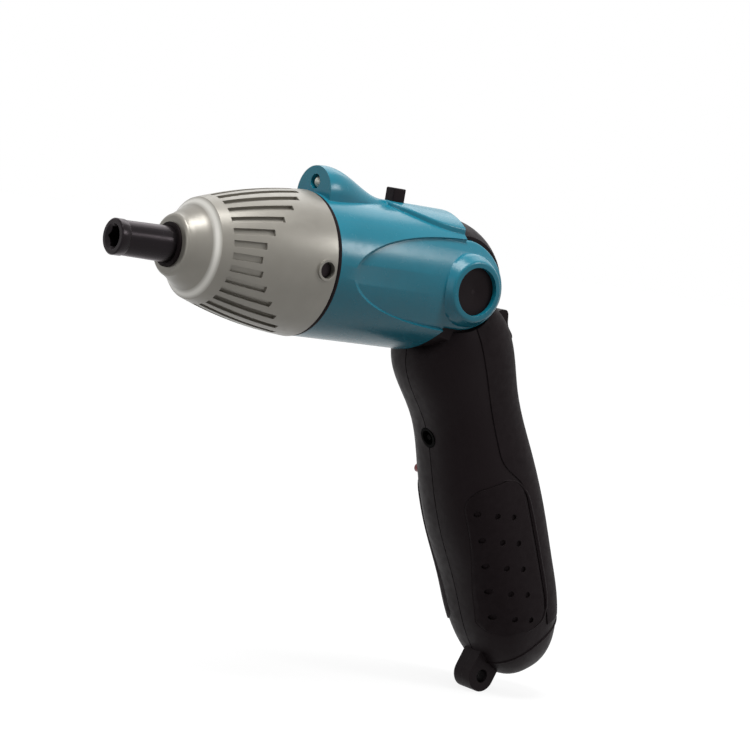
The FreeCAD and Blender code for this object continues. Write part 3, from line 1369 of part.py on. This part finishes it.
head_pieces = {
    "nose_cone": nose_cone(),
    "nose_seal": nose_seal(),
    "front_bush": front_bush(),
    "nose_screws": nose_screws(),
    "ring_gear": ring_gear(),
    "motor_plate": motor_plate(),
    "motor_screws": Part.makeCompound([countersunk_screw(z, 0) for z in motor_screw_places()]),
    "motor_can": motor_can(),
    "motor_end_bell": motor_end_bell(),
    "motor_terminals": motor_terminals(),
    "motor_housing_left": half_of(housing, -1),
    "motor_housing_right": half_of(housing, 1),
    "housing_screws": Part.makeCompound(screw_set(HOUSING_SCREWS)),
    "led_lamp": led_lamp(),
    "lamp_board": lamp_board(),
    "lamp_button": lamp_button(),
    "lamp_switch": lamp_switch(),
    "detent_spring": detent_spring(),
    "pivot_pin": pivot_pin(),
    "pivot_screw": pivot_screw(),
    "pivot_cap_left": pivot_cap(-1),
    "pivot_cap_right": pivot_cap(1),
    "pivot_washers": pivot_washers(),
    "bit_holder": bit_holder(),
    "bit_magnet": rod_x(MAGNET_RADIUS, HEX_DEPTH, HEX_DEPTH + MAGNET_LENGTH),
    "spindle_clip": spindle_clip(),
    "output_carrier": output_carrier(),
    "output_pins": planet_pins(OUTPUT_PLATE_FRONT, OUTPUT_GEAR_BACK),
    "input_carrier": input_carrier(),
    "input_pins": planet_pins(INPUT_PLATE_FRONT, INPUT_GEAR_BACK),
    "motor_shaft": motor_shaft(),
    "motor_pinion": motor_pinion(),
}
for number, degrees in enumerate(planet_angles(), 1):
    head_pieces["output_planet_%d" % number] = planet_gear(OUTPUT_GEAR_FRONT, OUTPUT_GEAR_BACK, degrees)
    head_pieces["input_planet_%d" % number] = planet_gear(INPUT_GEAR_FRONT, INPUT_GEAR_BACK, degrees)

grip_pieces = {
    "grip_shell_left": half_of(shells, -1),
    "grip_shell_right": half_of(shells, 1),
    "grip_pad_left": grip_pad(-1),
    "grip_pad_right": grip_pad(1),
    "rear_grip": rear_grip(),
    "thumb_rocker": thumb_rocker(),
    "switch_block": switch_block(),
    "battery_cells": battery_cells(),
    "cell_straps": cell_straps(),
    "charge_socket": charge_socket(),
    "charge_pin": charge_pin(),
    "circuit_board": circuit_board(),
    "indicator_lens": indicator_lens(),
    "grip_screws": Part.makeCompound(screw_set(GRIP_SCREWS)),
}

for name, shape in head_pieces.items():
    save(name, shape)
for name, shape in grip_pieces.items():
    save(name, to_photo_pose(shape))
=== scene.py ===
import json
import math

import bmesh
import bpy
from mathutils import Matrix, Vector, geometry
from mathutils.bvhtree import BVHTree


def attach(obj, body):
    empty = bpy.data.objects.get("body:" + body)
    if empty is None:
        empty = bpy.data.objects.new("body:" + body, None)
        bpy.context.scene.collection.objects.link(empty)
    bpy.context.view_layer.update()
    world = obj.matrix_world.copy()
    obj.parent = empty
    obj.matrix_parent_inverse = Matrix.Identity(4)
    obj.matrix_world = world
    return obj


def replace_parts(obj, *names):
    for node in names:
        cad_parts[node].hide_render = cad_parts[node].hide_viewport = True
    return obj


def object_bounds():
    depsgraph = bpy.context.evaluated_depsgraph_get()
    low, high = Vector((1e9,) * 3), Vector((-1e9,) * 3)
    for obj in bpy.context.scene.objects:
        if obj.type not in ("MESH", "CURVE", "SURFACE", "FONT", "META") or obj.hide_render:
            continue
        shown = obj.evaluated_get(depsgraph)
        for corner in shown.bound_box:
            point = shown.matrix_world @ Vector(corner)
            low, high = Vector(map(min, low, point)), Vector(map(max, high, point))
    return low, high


MM = 0.001
ALONG = Vector((1, 0, 0))
ACROSS = Vector((0, 1, 0))
UP = Vector((0, 0, 1))

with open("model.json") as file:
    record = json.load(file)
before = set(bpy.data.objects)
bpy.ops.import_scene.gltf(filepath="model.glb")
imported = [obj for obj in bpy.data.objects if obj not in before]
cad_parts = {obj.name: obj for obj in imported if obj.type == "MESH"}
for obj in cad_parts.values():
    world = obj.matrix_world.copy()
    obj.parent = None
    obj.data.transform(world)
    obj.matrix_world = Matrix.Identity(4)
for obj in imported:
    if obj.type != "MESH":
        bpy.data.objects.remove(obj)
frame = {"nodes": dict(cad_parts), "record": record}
cad_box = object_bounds()
nodes = frame["nodes"]

# Camera, fitted to the photograph
CAMERA_YAW = math.radians(37.55)
CAMERA_ELEVATION = math.radians(4.555)
CAMERA_ROLL = math.radians(9.59)
CAMERA_DISTANCE = 900 * MM
CAMERA_AIM = Vector((95, 0, -45)) * MM
CAMERA_CLIP = 10 * MM
FRAME_PIXELS = 750
FOCAL_PIXELS = 2622.8
AIM_PIXEL = (323.9, 399.6)
SENSOR = 36.0

# The grip's place: its hinge, the way down it, and the way to its back
GRIP_HINGE = Vector((134, 0, 0)) * MM
GRIP_TILT = math.radians(65)
GRIP_DOWN = Vector((math.cos(GRIP_TILT), 0, -math.sin(GRIP_TILT)))
GRIP_BACK = Vector((math.sin(GRIP_TILT), 0, math.cos(GRIP_TILT)))

# Beads on the grip: sides of their round section
BEAD_SIDES = 10

# The bead round the heel of the grip, in millimetres
HEEL_BEAD_AT = 140.7
HEEL_BEAD_LEAN = math.radians(17)
HEEL_BEAD_RADIUS = 0.4
HEEL_BEAD_STEP = 0.1
LUG_HALF_WIDTH = 4.5
LUG_BEFORE_AXIS = 6.0

# The bead behind each pad, in millimetres: places down the grip and to its back, then its size and taper,
# how deep it sits in the skin, and how far out the search for the skin starts
PAD_BEAD = ((72.2, 0.0), (73.4, 4.2), (76.2, 8.0), (81.0, 10.3), (87.0, 10.9), (96.0, 11.0), (106.0, 11.0),
            (115.0, 11.0), (121.5, 10.7), (126.5, 9.8), (130.0, 7.4), (131.4, 3.6), (131.8, -0.8))
PAD_BEAD_STEPS = 6
PAD_BEAD_RADIUS = 0.65
PAD_BEAD_END = 0.1
PAD_BEAD_TAPER = 0.4
PAD_BEAD_SUNK = 0.2
PAD_BEAD_REACH = 60

# A dark ring in the groove between the nose and the barrel that paints the shade there, in millimetres
SHADE_RING_AT = 73.4
SHADE_RING_RADIUS = 24.1
SHADE_RING_HALF_WIDTH = 1.0
SHADE_RING_HALF_HEIGHT = 0.6
SHADE_RING_SIDES = 144
SHADE_RING_SECTION_SIDES = 16

# The lamp's lens, in millimetres; both of its ends close on a tiny ring
LENS_TIP = 76.1
LENS_HEIGHT = 28.2
LENS_RADIUS = 2.0
LENS_LENGTH = 8.0
LENS_FLANGE = 0.5
LENS_END = 0.02
LENS_SIDES = 40
LENS_STEPS = 10

# Smoothing of the CAD nodes: points this close, in millimetres, are joined, and sharper edges stay crisp
WELD_DISTANCE = 0.002
CRISP_ANGLE = math.radians(32)

# Colours, linear
TEAL = (0.007, 0.195, 0.278)
GREY = (0.262, 0.247, 0.216)
# Lighter grey painted along the nose rim as a highlight
RIM_HIGHLIGHT_GREY = (0.660, 0.645, 0.600)
BLACK = (0.0062, 0.0040, 0.0046)
SCREW_BLACK = (0.0124, 0.0080, 0.0092)
RUBBER = (0.0066, 0.0044, 0.0050)
# Near-black that paints shade on small pieces
SHADE_BLACK = (0.0030, 0.0028, 0.0028)
WORN_BLACK = (0.030, 0.030, 0.030)
DARK_STEEL = (0.010, 0.008, 0.009)
WORN_STEEL = (0.120, 0.115, 0.115)
STEEL = (0.420, 0.410, 0.395)
BRONZE = (0.480, 0.300, 0.120)
NATURAL = (0.700, 0.680, 0.600)
LENS = (0.880, 0.900, 0.800)
RED = (0.420, 0.010, 0.010)
BOARD_GREEN = (0.020, 0.160, 0.060)
WRAP_GREEN = (0.050, 0.220, 0.110)
PALE = (0.200, 0.200, 0.200)
WHITE = (1.0, 1.0, 1.0)

# Tints of the gloss: on black pieces, and on dark steel
WARM = (1.0, 0.84, 0.88)
COOL = (1.0, 0.86, 0.93)

# Parts of each finish: scales are per metre, tones are shares of the colour, and wear grows from the first
# edge sharpness to the second
CLOUD_SCALE = 90
CLOUD_DETAIL = 3
CLOUD_TONES = (0.86, 1.12)
GLOSS_SCALE = 400
GLOSS_DETAIL = 4
GRAIN_DETAIL = 2
WEAR_SCALE = 260
WEAR_DETAIL = 4
WEAR_EDGES = (0.60, 0.72)
WORN_TONE = 1.7
NOISE_SPAN = (0.3, 0.7)
BEVEL_SAMPLES = 4

# Finishes: one for each slot, and a dull black that paints shade, with the settings that surface() takes
LOOKS = {
    "teal_plastic": dict(colour=TEAL, rough=(0.21, 0.28), grain=2600, height=0.002, wear=0.25,
                         specular=0.32),
    "grey_plastic": dict(colour=GREY, rough=(0.32, 0.40), grain=2600, height=0.004, metallic=0.35, wear=0.20,
                         soften=0.20),
    "black_plastic": dict(colour=BLACK, rough=(0.42, 0.55), grain=2200, height=0.025, wear=0.15,
                          wear_colour=WORN_BLACK, specular=0.10, tint=WARM),
    "black_rubber": dict(colour=RUBBER, rough=(0.60, 0.72), grain=2000, height=0.030, wear=0.15,
                         wear_colour=WORN_BLACK, specular=0.10, tint=WARM),
    "shade_black": dict(colour=SHADE_BLACK, rough=(0.60, 0.75), grain=3000, height=0.002, specular=0.03),
    "dark_steel": dict(colour=DARK_STEEL, rough=(0.20, 0.28), grain=3000, height=0.0015, metallic=0.2,
                       wear=0.40, wear_colour=WORN_STEEL, specular=0.16, tint=COOL),
    "steel": dict(colour=STEEL, rough=(0.22, 0.34), grain=3000, height=0.004, metallic=1.0),
    "black_screw": dict(colour=SCREW_BLACK, rough=(0.30, 0.42), grain=3000, height=0.004, metallic=0.8),
    "bronze": dict(colour=BRONZE, rough=(0.35, 0.50), grain=3000, height=0.006, metallic=1.0),
    "gear_plastic": dict(colour=NATURAL, rough=(0.40, 0.55), grain=2600, height=0.008),
    "lamp_lens": dict(colour=LENS, rough=(0.06, 0.14), grain=900, height=0.002, wear=0.05),
    "red_lens": dict(colour=RED, rough=(0.12, 0.20), grain=2000, height=0.003),
    "board": dict(colour=BOARD_GREEN, rough=(0.25, 0.40), grain=1500, height=0.006),
    "cell_wrap": dict(colour=WRAP_GREEN, rough=(0.18, 0.30), grain=1200, height=0.006),
}

# Small pieces with a dull black finish that paints them as shade, so that they read as dark as the shade
# round them
SHADE_NODES = ("charge_pin", "charge_socket", "detent_spring")

# Painted highlight along the rim of the nose: a lighter band of the grey, from and to along the spindle, in
# millimetres
NOSE_RIM_HIGHLIGHT = (29.7, 30.9)
RIM_HIGHLIGHT_FADE = 0.4

# The lens lets part of the light through
LENS_CLEAR = 0.25
LENS_IOR = 1.5

# World and floor, lengths in millimetres
WORLD_LIGHT = 0.06
FLOOR_HALF = 6000
FLOOR_GAP = 0.2
FLOOR_ROUGHNESS = 0.9
FLOOR_GLOW = 0.88
FLOOR_NEAR = 250
FLOOR_FAR = 900

# Lamps: name, place, aim and size in millimetres, and power in watts
LAMPS = (
    ("key", (-90, -140, 800), (90, 0, -20), 450, 7.4),
    ("front", (600, -570, 450), (80, 0, 0), 220, 2.2),
    ("left", (-750, -120, 140), (60, 0, 0), 600, 0.9),
    ("rim", (420, 360, 560), (80, 0, 0), 500, 1.2),
)


# Materials

def node_of(tree, kind, **settings):
    """A new shader node with its settings."""
    node = tree.nodes.new(kind)
    for name, value in settings.items():
        setattr(node, name, value)
    return node


def noise(tree, scale, detail):
    """A noise texture in the object's own coordinates, in metres."""
    where = node_of(tree, "ShaderNodeTexCoord")
    texture = node_of(tree, "ShaderNodeTexNoise")
    texture.inputs["Scale"].default_value = scale
    texture.inputs["Detail"].default_value = detail
    tree.links.new(where.outputs["Object"], texture.inputs["Vector"])
    return texture.outputs["Fac"]


def mapped(tree, value, span=(0, 1), limits=(0, 1)):
    """A value that runs between two limits over a span, and stays there outside it."""
    ranged = node_of(tree, "ShaderNodeMapRange")
    ranged.inputs["From Min"].default_value, ranged.inputs["From Max"].default_value = span
    ranged.inputs["To Min"].default_value, ranged.inputs["To Max"].default_value = limits
    tree.links.new(value, ranged.inputs["Value"])
    return ranged.outputs["Result"]


def combined(tree, operation, first, second):
    """Two values put together by an operation."""
    both = node_of(tree, "ShaderNodeMath", operation=operation)
    tree.links.new(first, both.inputs[0])
    tree.links.new(second, both.inputs[1])
    return both.outputs["Value"]


def blend_colour(tree, factor, first, second):
    """A mix of two colours, each a plain colour or a node's output."""
    mix = node_of(tree, "ShaderNodeMix", data_type="RGBA")
    tree.links.new(factor, mix.inputs["Factor"])
    for socket, colour in ((mix.inputs["A"], first), (mix.inputs["B"], second)):
        if isinstance(colour, tuple):
            socket.default_value = (*colour, 1)
        else:
            tree.links.new(colour, socket)
    return mix.outputs["Result"]


def scaled(colour, share):
    """A colour made darker or lighter."""
    return tuple(min(1.0, c * share) for c in colour)


def edge_wear(tree, amount):
    """Where convex edges have been rubbed, broken up by noise."""
    shape = node_of(tree, "ShaderNodeNewGeometry")
    edges = mapped(tree, shape.outputs["Pointiness"], WEAR_EDGES, (0, amount))
    return combined(tree, "MULTIPLY", edges, noise(tree, WEAR_SCALE, WEAR_DETAIL))


def surface(name, colour, rough, grain, height, metallic=0.0, wear=0.3, wear_colour=None, specular=0.5,
            soften=0.25, tint=WHITE):
    """A finish with fine grain, uneven colour and gloss, and rubbed edges.

    rough is a pair of roughness limits, grain the grain's scale per metre, height its depth in millimetres,
    and soften the radius in millimetres over which sharp edges look rounded.
    """
    material = bpy.data.materials.new(name)
    material.use_nodes = True
    tree = material.node_tree
    shader = tree.nodes["Principled BSDF"]
    shader.inputs["Metallic"].default_value = metallic
    shader.inputs["Specular IOR Level"].default_value = specular
    shader.inputs["Specular Tint"].default_value = (*tint, 1)
    dark, light = (scaled(colour, tone) for tone in CLOUD_TONES)
    cloudy = blend_colour(tree, noise(tree, CLOUD_SCALE, CLOUD_DETAIL), dark, light)
    paint = blend_colour(tree, edge_wear(tree, wear), cloudy, wear_colour or scaled(colour, WORN_TONE))
    tree.links.new(paint, shader.inputs["Base Color"])
    gloss = mapped(tree, noise(tree, GLOSS_SCALE, GLOSS_DETAIL), NOISE_SPAN, rough)
    tree.links.new(gloss, shader.inputs["Roughness"])
    bevel = node_of(tree, "ShaderNodeBevel", samples=BEVEL_SAMPLES)
    bevel.inputs["Radius"].default_value = soften * MM
    bump = node_of(tree, "ShaderNodeBump")
    bump.inputs["Strength"].default_value = 1.0
    bump.inputs["Distance"].default_value = height * MM
    tree.links.new(noise(tree, grain, GRAIN_DETAIL), bump.inputs["Height"])
    tree.links.new(bevel.outputs["Normal"], bump.inputs["Normal"])
    tree.links.new(bump.outputs["Normal"], shader.inputs["Normal"])
    return material


def clear_lens(material):
    """Lets light through a finish."""
    shader = material.node_tree.nodes["Principled BSDF"]
    shader.inputs["Transmission Weight"].default_value = LENS_CLEAR
    shader.inputs["IOR"].default_value = LENS_IOR


def paint_rim_highlight(material):
    """Paints a highlight into a finish: a lighter grey band along the rim of the nose."""
    tree = material.node_tree
    paint = tree.nodes["Principled BSDF"].inputs["Base Color"]
    where = node_of(tree, "ShaderNodeTexCoord")
    place = node_of(tree, "ShaderNodeSeparateXYZ")
    tree.links.new(where.outputs["Object"], place.inputs["Vector"])
    start, end = NOSE_RIM_HIGHLIGHT
    # The band along the rim where the highlight is painted, faded at both ends
    behind = mapped(tree, place.outputs["X"], ((start - RIM_HIGHLIGHT_FADE) * MM, (start + RIM_HIGHLIGHT_FADE) * MM))
    before = mapped(tree, place.outputs["X"], ((end + RIM_HIGHLIGHT_FADE) * MM, (end - RIM_HIGHLIGHT_FADE) * MM))
    highlight_mask = combined(tree, "MULTIPLY", behind, before)
    tree.links.new(blend_colour(tree, highlight_mask, paint.links[0].from_socket, RIM_HIGHLIGHT_GREY), paint)


def dress(name, slot):
    """Gives a CAD node its finish and smooths its rounded faces."""
    piece = nodes[name]
    piece.data.materials.clear()
    piece.data.materials.append(finishes[slot])
    for face in piece.data.polygons:
        face.use_smooth = True
    weld = piece.modifiers.new("weld", "WELD")
    weld.merge_threshold = WELD_DISTANCE * MM
    split = piece.modifiers.new("crisp edges", "EDGE_SPLIT")
    split.split_angle = CRISP_ANGLE


finishes = {name: surface(name.replace("_", " "), **look) for name, look in LOOKS.items()}
clear_lens(finishes["lamp_lens"])
# Painted highlight along the nose rim
paint_rim_highlight(finishes["grey_plastic"])
# The small shaded pieces get the near-black as painted shade; the rest get their slot's finish
for entry in frame["record"]["subparts"]:
    dress(entry["node"], "shade_black" if entry["node"] in SHADE_NODES else entry["material_slot"])


# Pieces that stand on the CAD nodes

def turns(sides):
    """Angles once round a circle."""
    return [2 * math.pi * i / sides for i in range(sides)]


def oval(middle, out, beside, height, width, sides):
    """Points round an oval; height is half its size along out, width half its size along beside."""
    return [middle + out * height * math.cos(t) + beside * width * math.sin(t) for t in turns(sides)]


def ring_mesh(name, rings, closed):
    """A skin over rings with equally many points.

    closed joins the last ring to the first, and otherwise both ends are capped.
    """
    count = len(rings[0])
    points = [point for ring in rings for point in ring]
    faces = []
    for i in range(len(rings) if closed else len(rings) - 1):
        j = (i + 1) % len(rings)
        for a in range(count):
            b = (a + 1) % count
            faces.append((i * count + a, i * count + b, j * count + b, j * count + a))
    if not closed:
        faces += [tuple(range(count)), tuple(range(len(points) - count, len(points)))]
    mesh = bpy.data.meshes.new(name)
    mesh.from_pydata(points, [], faces)
    skin = bmesh.new()
    skin.from_mesh(mesh)
    bmesh.ops.recalc_face_normals(skin, faces=skin.faces[:])
    skin.to_mesh(mesh)
    skin.free()
    for face in mesh.polygons:
        face.use_smooth = True
    return mesh


def piece_of(mesh, body, slot):
    """A piece with the slot's finish that rides on a body."""
    mesh.materials.append(finishes[slot])
    piece = bpy.data.objects.new(mesh.name, mesh)
    bpy.context.collection.objects.link(piece)
    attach(piece, body)
    return piece


def lamp_lens():
    """The lamp's lens: a clear dome just inside its hole, a round body and a flange."""
    dome = [math.pi / 2 * i / LENS_STEPS for i in range(1, LENS_STEPS + 1)]
    collar = LENS_LENGTH - LENS_FLANGE
    rim = LENS_RADIUS + LENS_FLANGE
    profile = [(0, LENS_END)]
    profile += [(LENS_RADIUS * (1 - math.cos(a)), LENS_RADIUS * math.sin(a)) for a in dome]
    profile += [(collar, LENS_RADIUS), (collar, rim), (LENS_LENGTH, rim), (LENS_LENGTH, LENS_END)]
    tip = Vector((LENS_TIP, 0, LENS_HEIGHT))
    rings = [oval((tip + ALONG * x) * MM, ACROSS, UP, r * MM, r * MM, LENS_SIDES) for x, r in profile]
    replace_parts(piece_of(ring_mesh("lamp_lens_dome", rings, False), "head", "lamp_lens"), "led_lamp")


def barrel_shade_ring():
    """Painted shade: a dark ring that fills the groove between the nose and the barrel's rounded front edge,
    where shade falls.
    """
    rings = []
    for t in turns(SHADE_RING_SIDES):
        out = ACROSS * math.cos(t) + UP * math.sin(t)
        middle = (ALONG * SHADE_RING_AT + out * SHADE_RING_RADIUS) * MM
        halves = SHADE_RING_HALF_HEIGHT * MM, SHADE_RING_HALF_WIDTH * MM
        rings.append(oval(middle, out, ALONG, *halves, SHADE_RING_SECTION_SIDES))
    piece_of(ring_mesh("barrel_shade_ring", rings, True), "head", "black_rubber")


def heel_outline(place, through, along):
    """Where the outside of the shells meets a plane: pairs across the grip and along the plane.

    The lug's own outline is left out, and so are points that nearly repeat the one before.
    """
    flat = []
    for name in ("grip_shell_left", "grip_shell_right"):
        cut = bmesh.new()
        cut.from_mesh(nodes[name].data)
        everything = cut.verts[:] + cut.edges[:] + cut.faces[:]
        made = bmesh.ops.bisect_plane(cut, geom=everything, plane_co=place, plane_no=through)["geom_cut"]
        corners = [v.co for v in made if isinstance(v, bmesh.types.BMVert)]
        flat += [(c.y, (c - place).dot(along)) for c in corners]
        cut.free()
    flat = [f for f in flat if abs(f[0]) > LUG_HALF_WIDTH * MM or f[1] > -LUG_BEFORE_AXIS * MM]
    hull = [flat[i] for i in geometry.convex_hull_2d([Vector(f) for f in flat])]
    line = hull[:1]
    for spot in hull[1:]:
        if min(math.dist(spot, line[-1]), math.dist(spot, line[0])) > HEEL_BEAD_STEP * MM:
            line.append(spot)
    return line


def heel_bead():
    """A fine bead round the heel, on a plane that leans down to the front; it runs on behind the lug."""
    place = GRIP_HINGE + GRIP_DOWN * HEEL_BEAD_AT * MM
    through = GRIP_DOWN * math.cos(HEEL_BEAD_LEAN) + GRIP_BACK * math.sin(HEEL_BEAD_LEAN)
    along = GRIP_BACK * math.cos(HEEL_BEAD_LEAN) - GRIP_DOWN * math.sin(HEEL_BEAD_LEAN)
    line = [place + ACROSS * across + along * back for across, back in heel_outline(place, through, along)]
    rings = []
    for i, middle in enumerate(line):
        run = line[(i + 1) % len(line)] - line[i - 1]
        out = run.cross(through).normalized()
        out = out if out.dot(middle - place) > 0 else -out
        rings.append(oval(middle, out, through, HEEL_BEAD_RADIUS * MM, HEEL_BEAD_RADIUS * MM, BEAD_SIDES))
    piece_of(ring_mesh("heel_bead", rings, True), "grip", "black_plastic")


def smooth_line(points, steps):
    """Places along a smooth line through points.

    Between each two it is a cubic, whose slopes come from the neighbours.
    """
    ends = [points[0], *points, points[-1]]
    line = []
    for i in range(len(points) - 1):
        a, b, c, d = (Vector(point) for point in ends[i:i + 4])
        for k in range(steps):
            t = k / steps
            bend = 2 * a - 5 * b + 4 * c - d + t * (3 * b - a - 3 * c + d)
            line.append(b + 0.5 * t * (c - a + t * bend))
    return line + [Vector(points[-1])]


def pad_bead(side, outward):
    """A raised bead along the back border of a pad, laid on the shell, the pad and the rear grip."""
    skins = []
    for name in ("grip_shell_" + side, "grip_pad_" + side, "rear_grip"):
        mesh = nodes[name].data
        faces = [face.vertices[:] for face in mesh.polygons]
        skins.append(BVHTree.FromPolygons([v.co for v in mesh.vertices], faces))
    line = []
    for down, back in smooth_line(PAD_BEAD, PAD_BEAD_STEPS):
        start = GRIP_HINGE + (GRIP_DOWN * down + GRIP_BACK * back + outward * PAD_BEAD_REACH) * MM
        hits = [skin.ray_cast(start, -outward) for skin in skins]
        place = min((hit for hit in hits if hit[0] is not None), key=lambda hit: hit[3])[0]
        line.append(place - outward * PAD_BEAD_SUNK * MM)
    last = len(line) - 1
    rings = []
    for i, middle in enumerate(line):
        run = (line[min(i + 1, last)] - line[max(i - 1, 0)]).normalized()
        out = (outward - run * run.dot(outward)).normalized()
        share = math.sin(math.pi * i / last) ** PAD_BEAD_TAPER if 0 < i < last else 0
        radius = (PAD_BEAD_END + (PAD_BEAD_RADIUS - PAD_BEAD_END) * share) * MM
        rings.append(oval(middle, out, run.cross(out), radius, radius, BEAD_SIDES))
    piece_of(ring_mesh("pad_bead_" + side, rings, False), "grip", "black_plastic")


lamp_lens()
# A dark ring that paints the shade in the groove behind the nose
barrel_shade_ring()
heel_bead()
pad_bead("left", -ACROSS)
pad_bead("right", ACROSS)


# Stage

def seen_directly(tree):
    """1 for rays from the camera, or from a mirror or glass, and 0 for rays that carry light."""
    path = node_of(tree, "ShaderNodeLightPath").outputs
    mirrored = combined(tree, "MAXIMUM", path["Is Camera Ray"], path["Is Glossy Ray"])
    return combined(tree, "MAXIMUM", mirrored, path["Is Transmission Ray"])


def floor_finish():
    """A pale matt floor that looks white but keeps the object's shadow.

    The lamps fade with distance, so its own brightness grows outwards.
    """
    material = bpy.data.materials.new("floor")
    material.use_nodes = True
    tree = material.node_tree
    shader = tree.nodes["Principled BSDF"]
    shader.inputs["Base Color"].default_value = (*PALE, 1)
    shader.inputs["Roughness"].default_value = FLOOR_ROUGHNESS
    shader.inputs["Specular IOR Level"].default_value = 0.0
    where = node_of(tree, "ShaderNodeTexCoord")
    reach = node_of(tree, "ShaderNodeVectorMath", operation="LENGTH")
    tree.links.new(where.outputs["Object"], reach.inputs[0])
    glow = mapped(tree, reach.outputs["Value"], (FLOOR_NEAR * MM, FLOOR_FAR * MM), (FLOOR_GLOW, 1))
    shader.inputs["Emission Color"].default_value = (*WHITE, 1)
    strength = combined(tree, "MULTIPLY", seen_directly(tree), glow)
    tree.links.new(strength, shader.inputs["Emission Strength"])
    return material


def floor():
    """A wide flat floor just under the object."""
    lowest, highest = (Vector(corner) for corner in cad_box)
    half = FLOOR_HALF * MM
    corners = [(-half, -half, 0), (half, -half, 0), (half, half, 0), (-half, half, 0)]
    mesh = bpy.data.meshes.new("floor")
    mesh.from_pydata(corners, [], [tuple(range(len(corners)))])
    mesh.materials.append(floor_finish())
    piece = bpy.data.objects.new("floor", mesh)
    piece.location = (lowest + highest) / 2
    piece.location.z = lowest.z - FLOOR_GAP * MM
    bpy.context.collection.objects.link(piece)


def lamp(name, place, aim, size, power):
    """A soft square lamp at a place, turned towards a point."""
    light = bpy.data.lights.new(name, "AREA")
    light.size = size * MM
    light.energy = power
    piece = bpy.data.objects.new(name, light)
    piece.location = Vector(place) * MM
    way = (Vector(aim) - Vector(place)).normalized()
    piece.rotation_euler = way.to_track_quat("-Z", "Y").to_euler()
    bpy.context.collection.objects.link(piece)


def white_world():
    """A world that looks white and gives little light."""
    world = bpy.data.worlds.new("studio")
    bpy.context.scene.world = world
    world.use_nodes = True
    tree = world.node_tree
    background = tree.nodes["Background"]
    background.inputs["Color"].default_value = (*WHITE, 1)
    strength = mapped(tree, seen_directly(tree), limits=(WORLD_LIGHT, 1))
    tree.links.new(strength, background.inputs["Strength"])


def camera():
    """The photograph's view: the fitted direction and roll, aimed at the middle of the frame."""
    back = Vector((-math.sin(CAMERA_YAW) * math.cos(CAMERA_ELEVATION),
                   -math.cos(CAMERA_YAW) * math.cos(CAMERA_ELEVATION), math.sin(CAMERA_ELEVATION)))
    level = (-back).cross(UP).normalized()
    down = (-back).cross(level)
    right = math.cos(CAMERA_ROLL) * level - math.sin(CAMERA_ROLL) * down
    down = math.sin(CAMERA_ROLL) * level + math.cos(CAMERA_ROLL) * down
    middle = FRAME_PIXELS / 2
    forward = -back * FOCAL_PIXELS + right * (middle - AIM_PIXEL[0]) + down * (middle - AIM_PIXEL[1])
    forward.normalize()
    right = (right - forward * right.dot(forward)).normalized()
    up = right.cross(forward)
    data = bpy.data.cameras.new("photo view")
    data.sensor_width = SENSOR
    data.lens = SENSOR * FOCAL_PIXELS / FRAME_PIXELS
    data.clip_start = CAMERA_CLIP
    piece = bpy.data.objects.new("photo view", data)
    turn = Matrix((right, up, -forward)).transposed().to_4x4()
    piece.matrix_world = Matrix.Translation(CAMERA_AIM + back * CAMERA_DISTANCE) @ turn
    bpy.context.collection.objects.link(piece)
    bpy.context.scene.camera = piece


floor()
for settings in LAMPS:
    lamp(*settings)
white_world()
camera()
bpy.context.scene.view_settings.view_transform = "Standard"
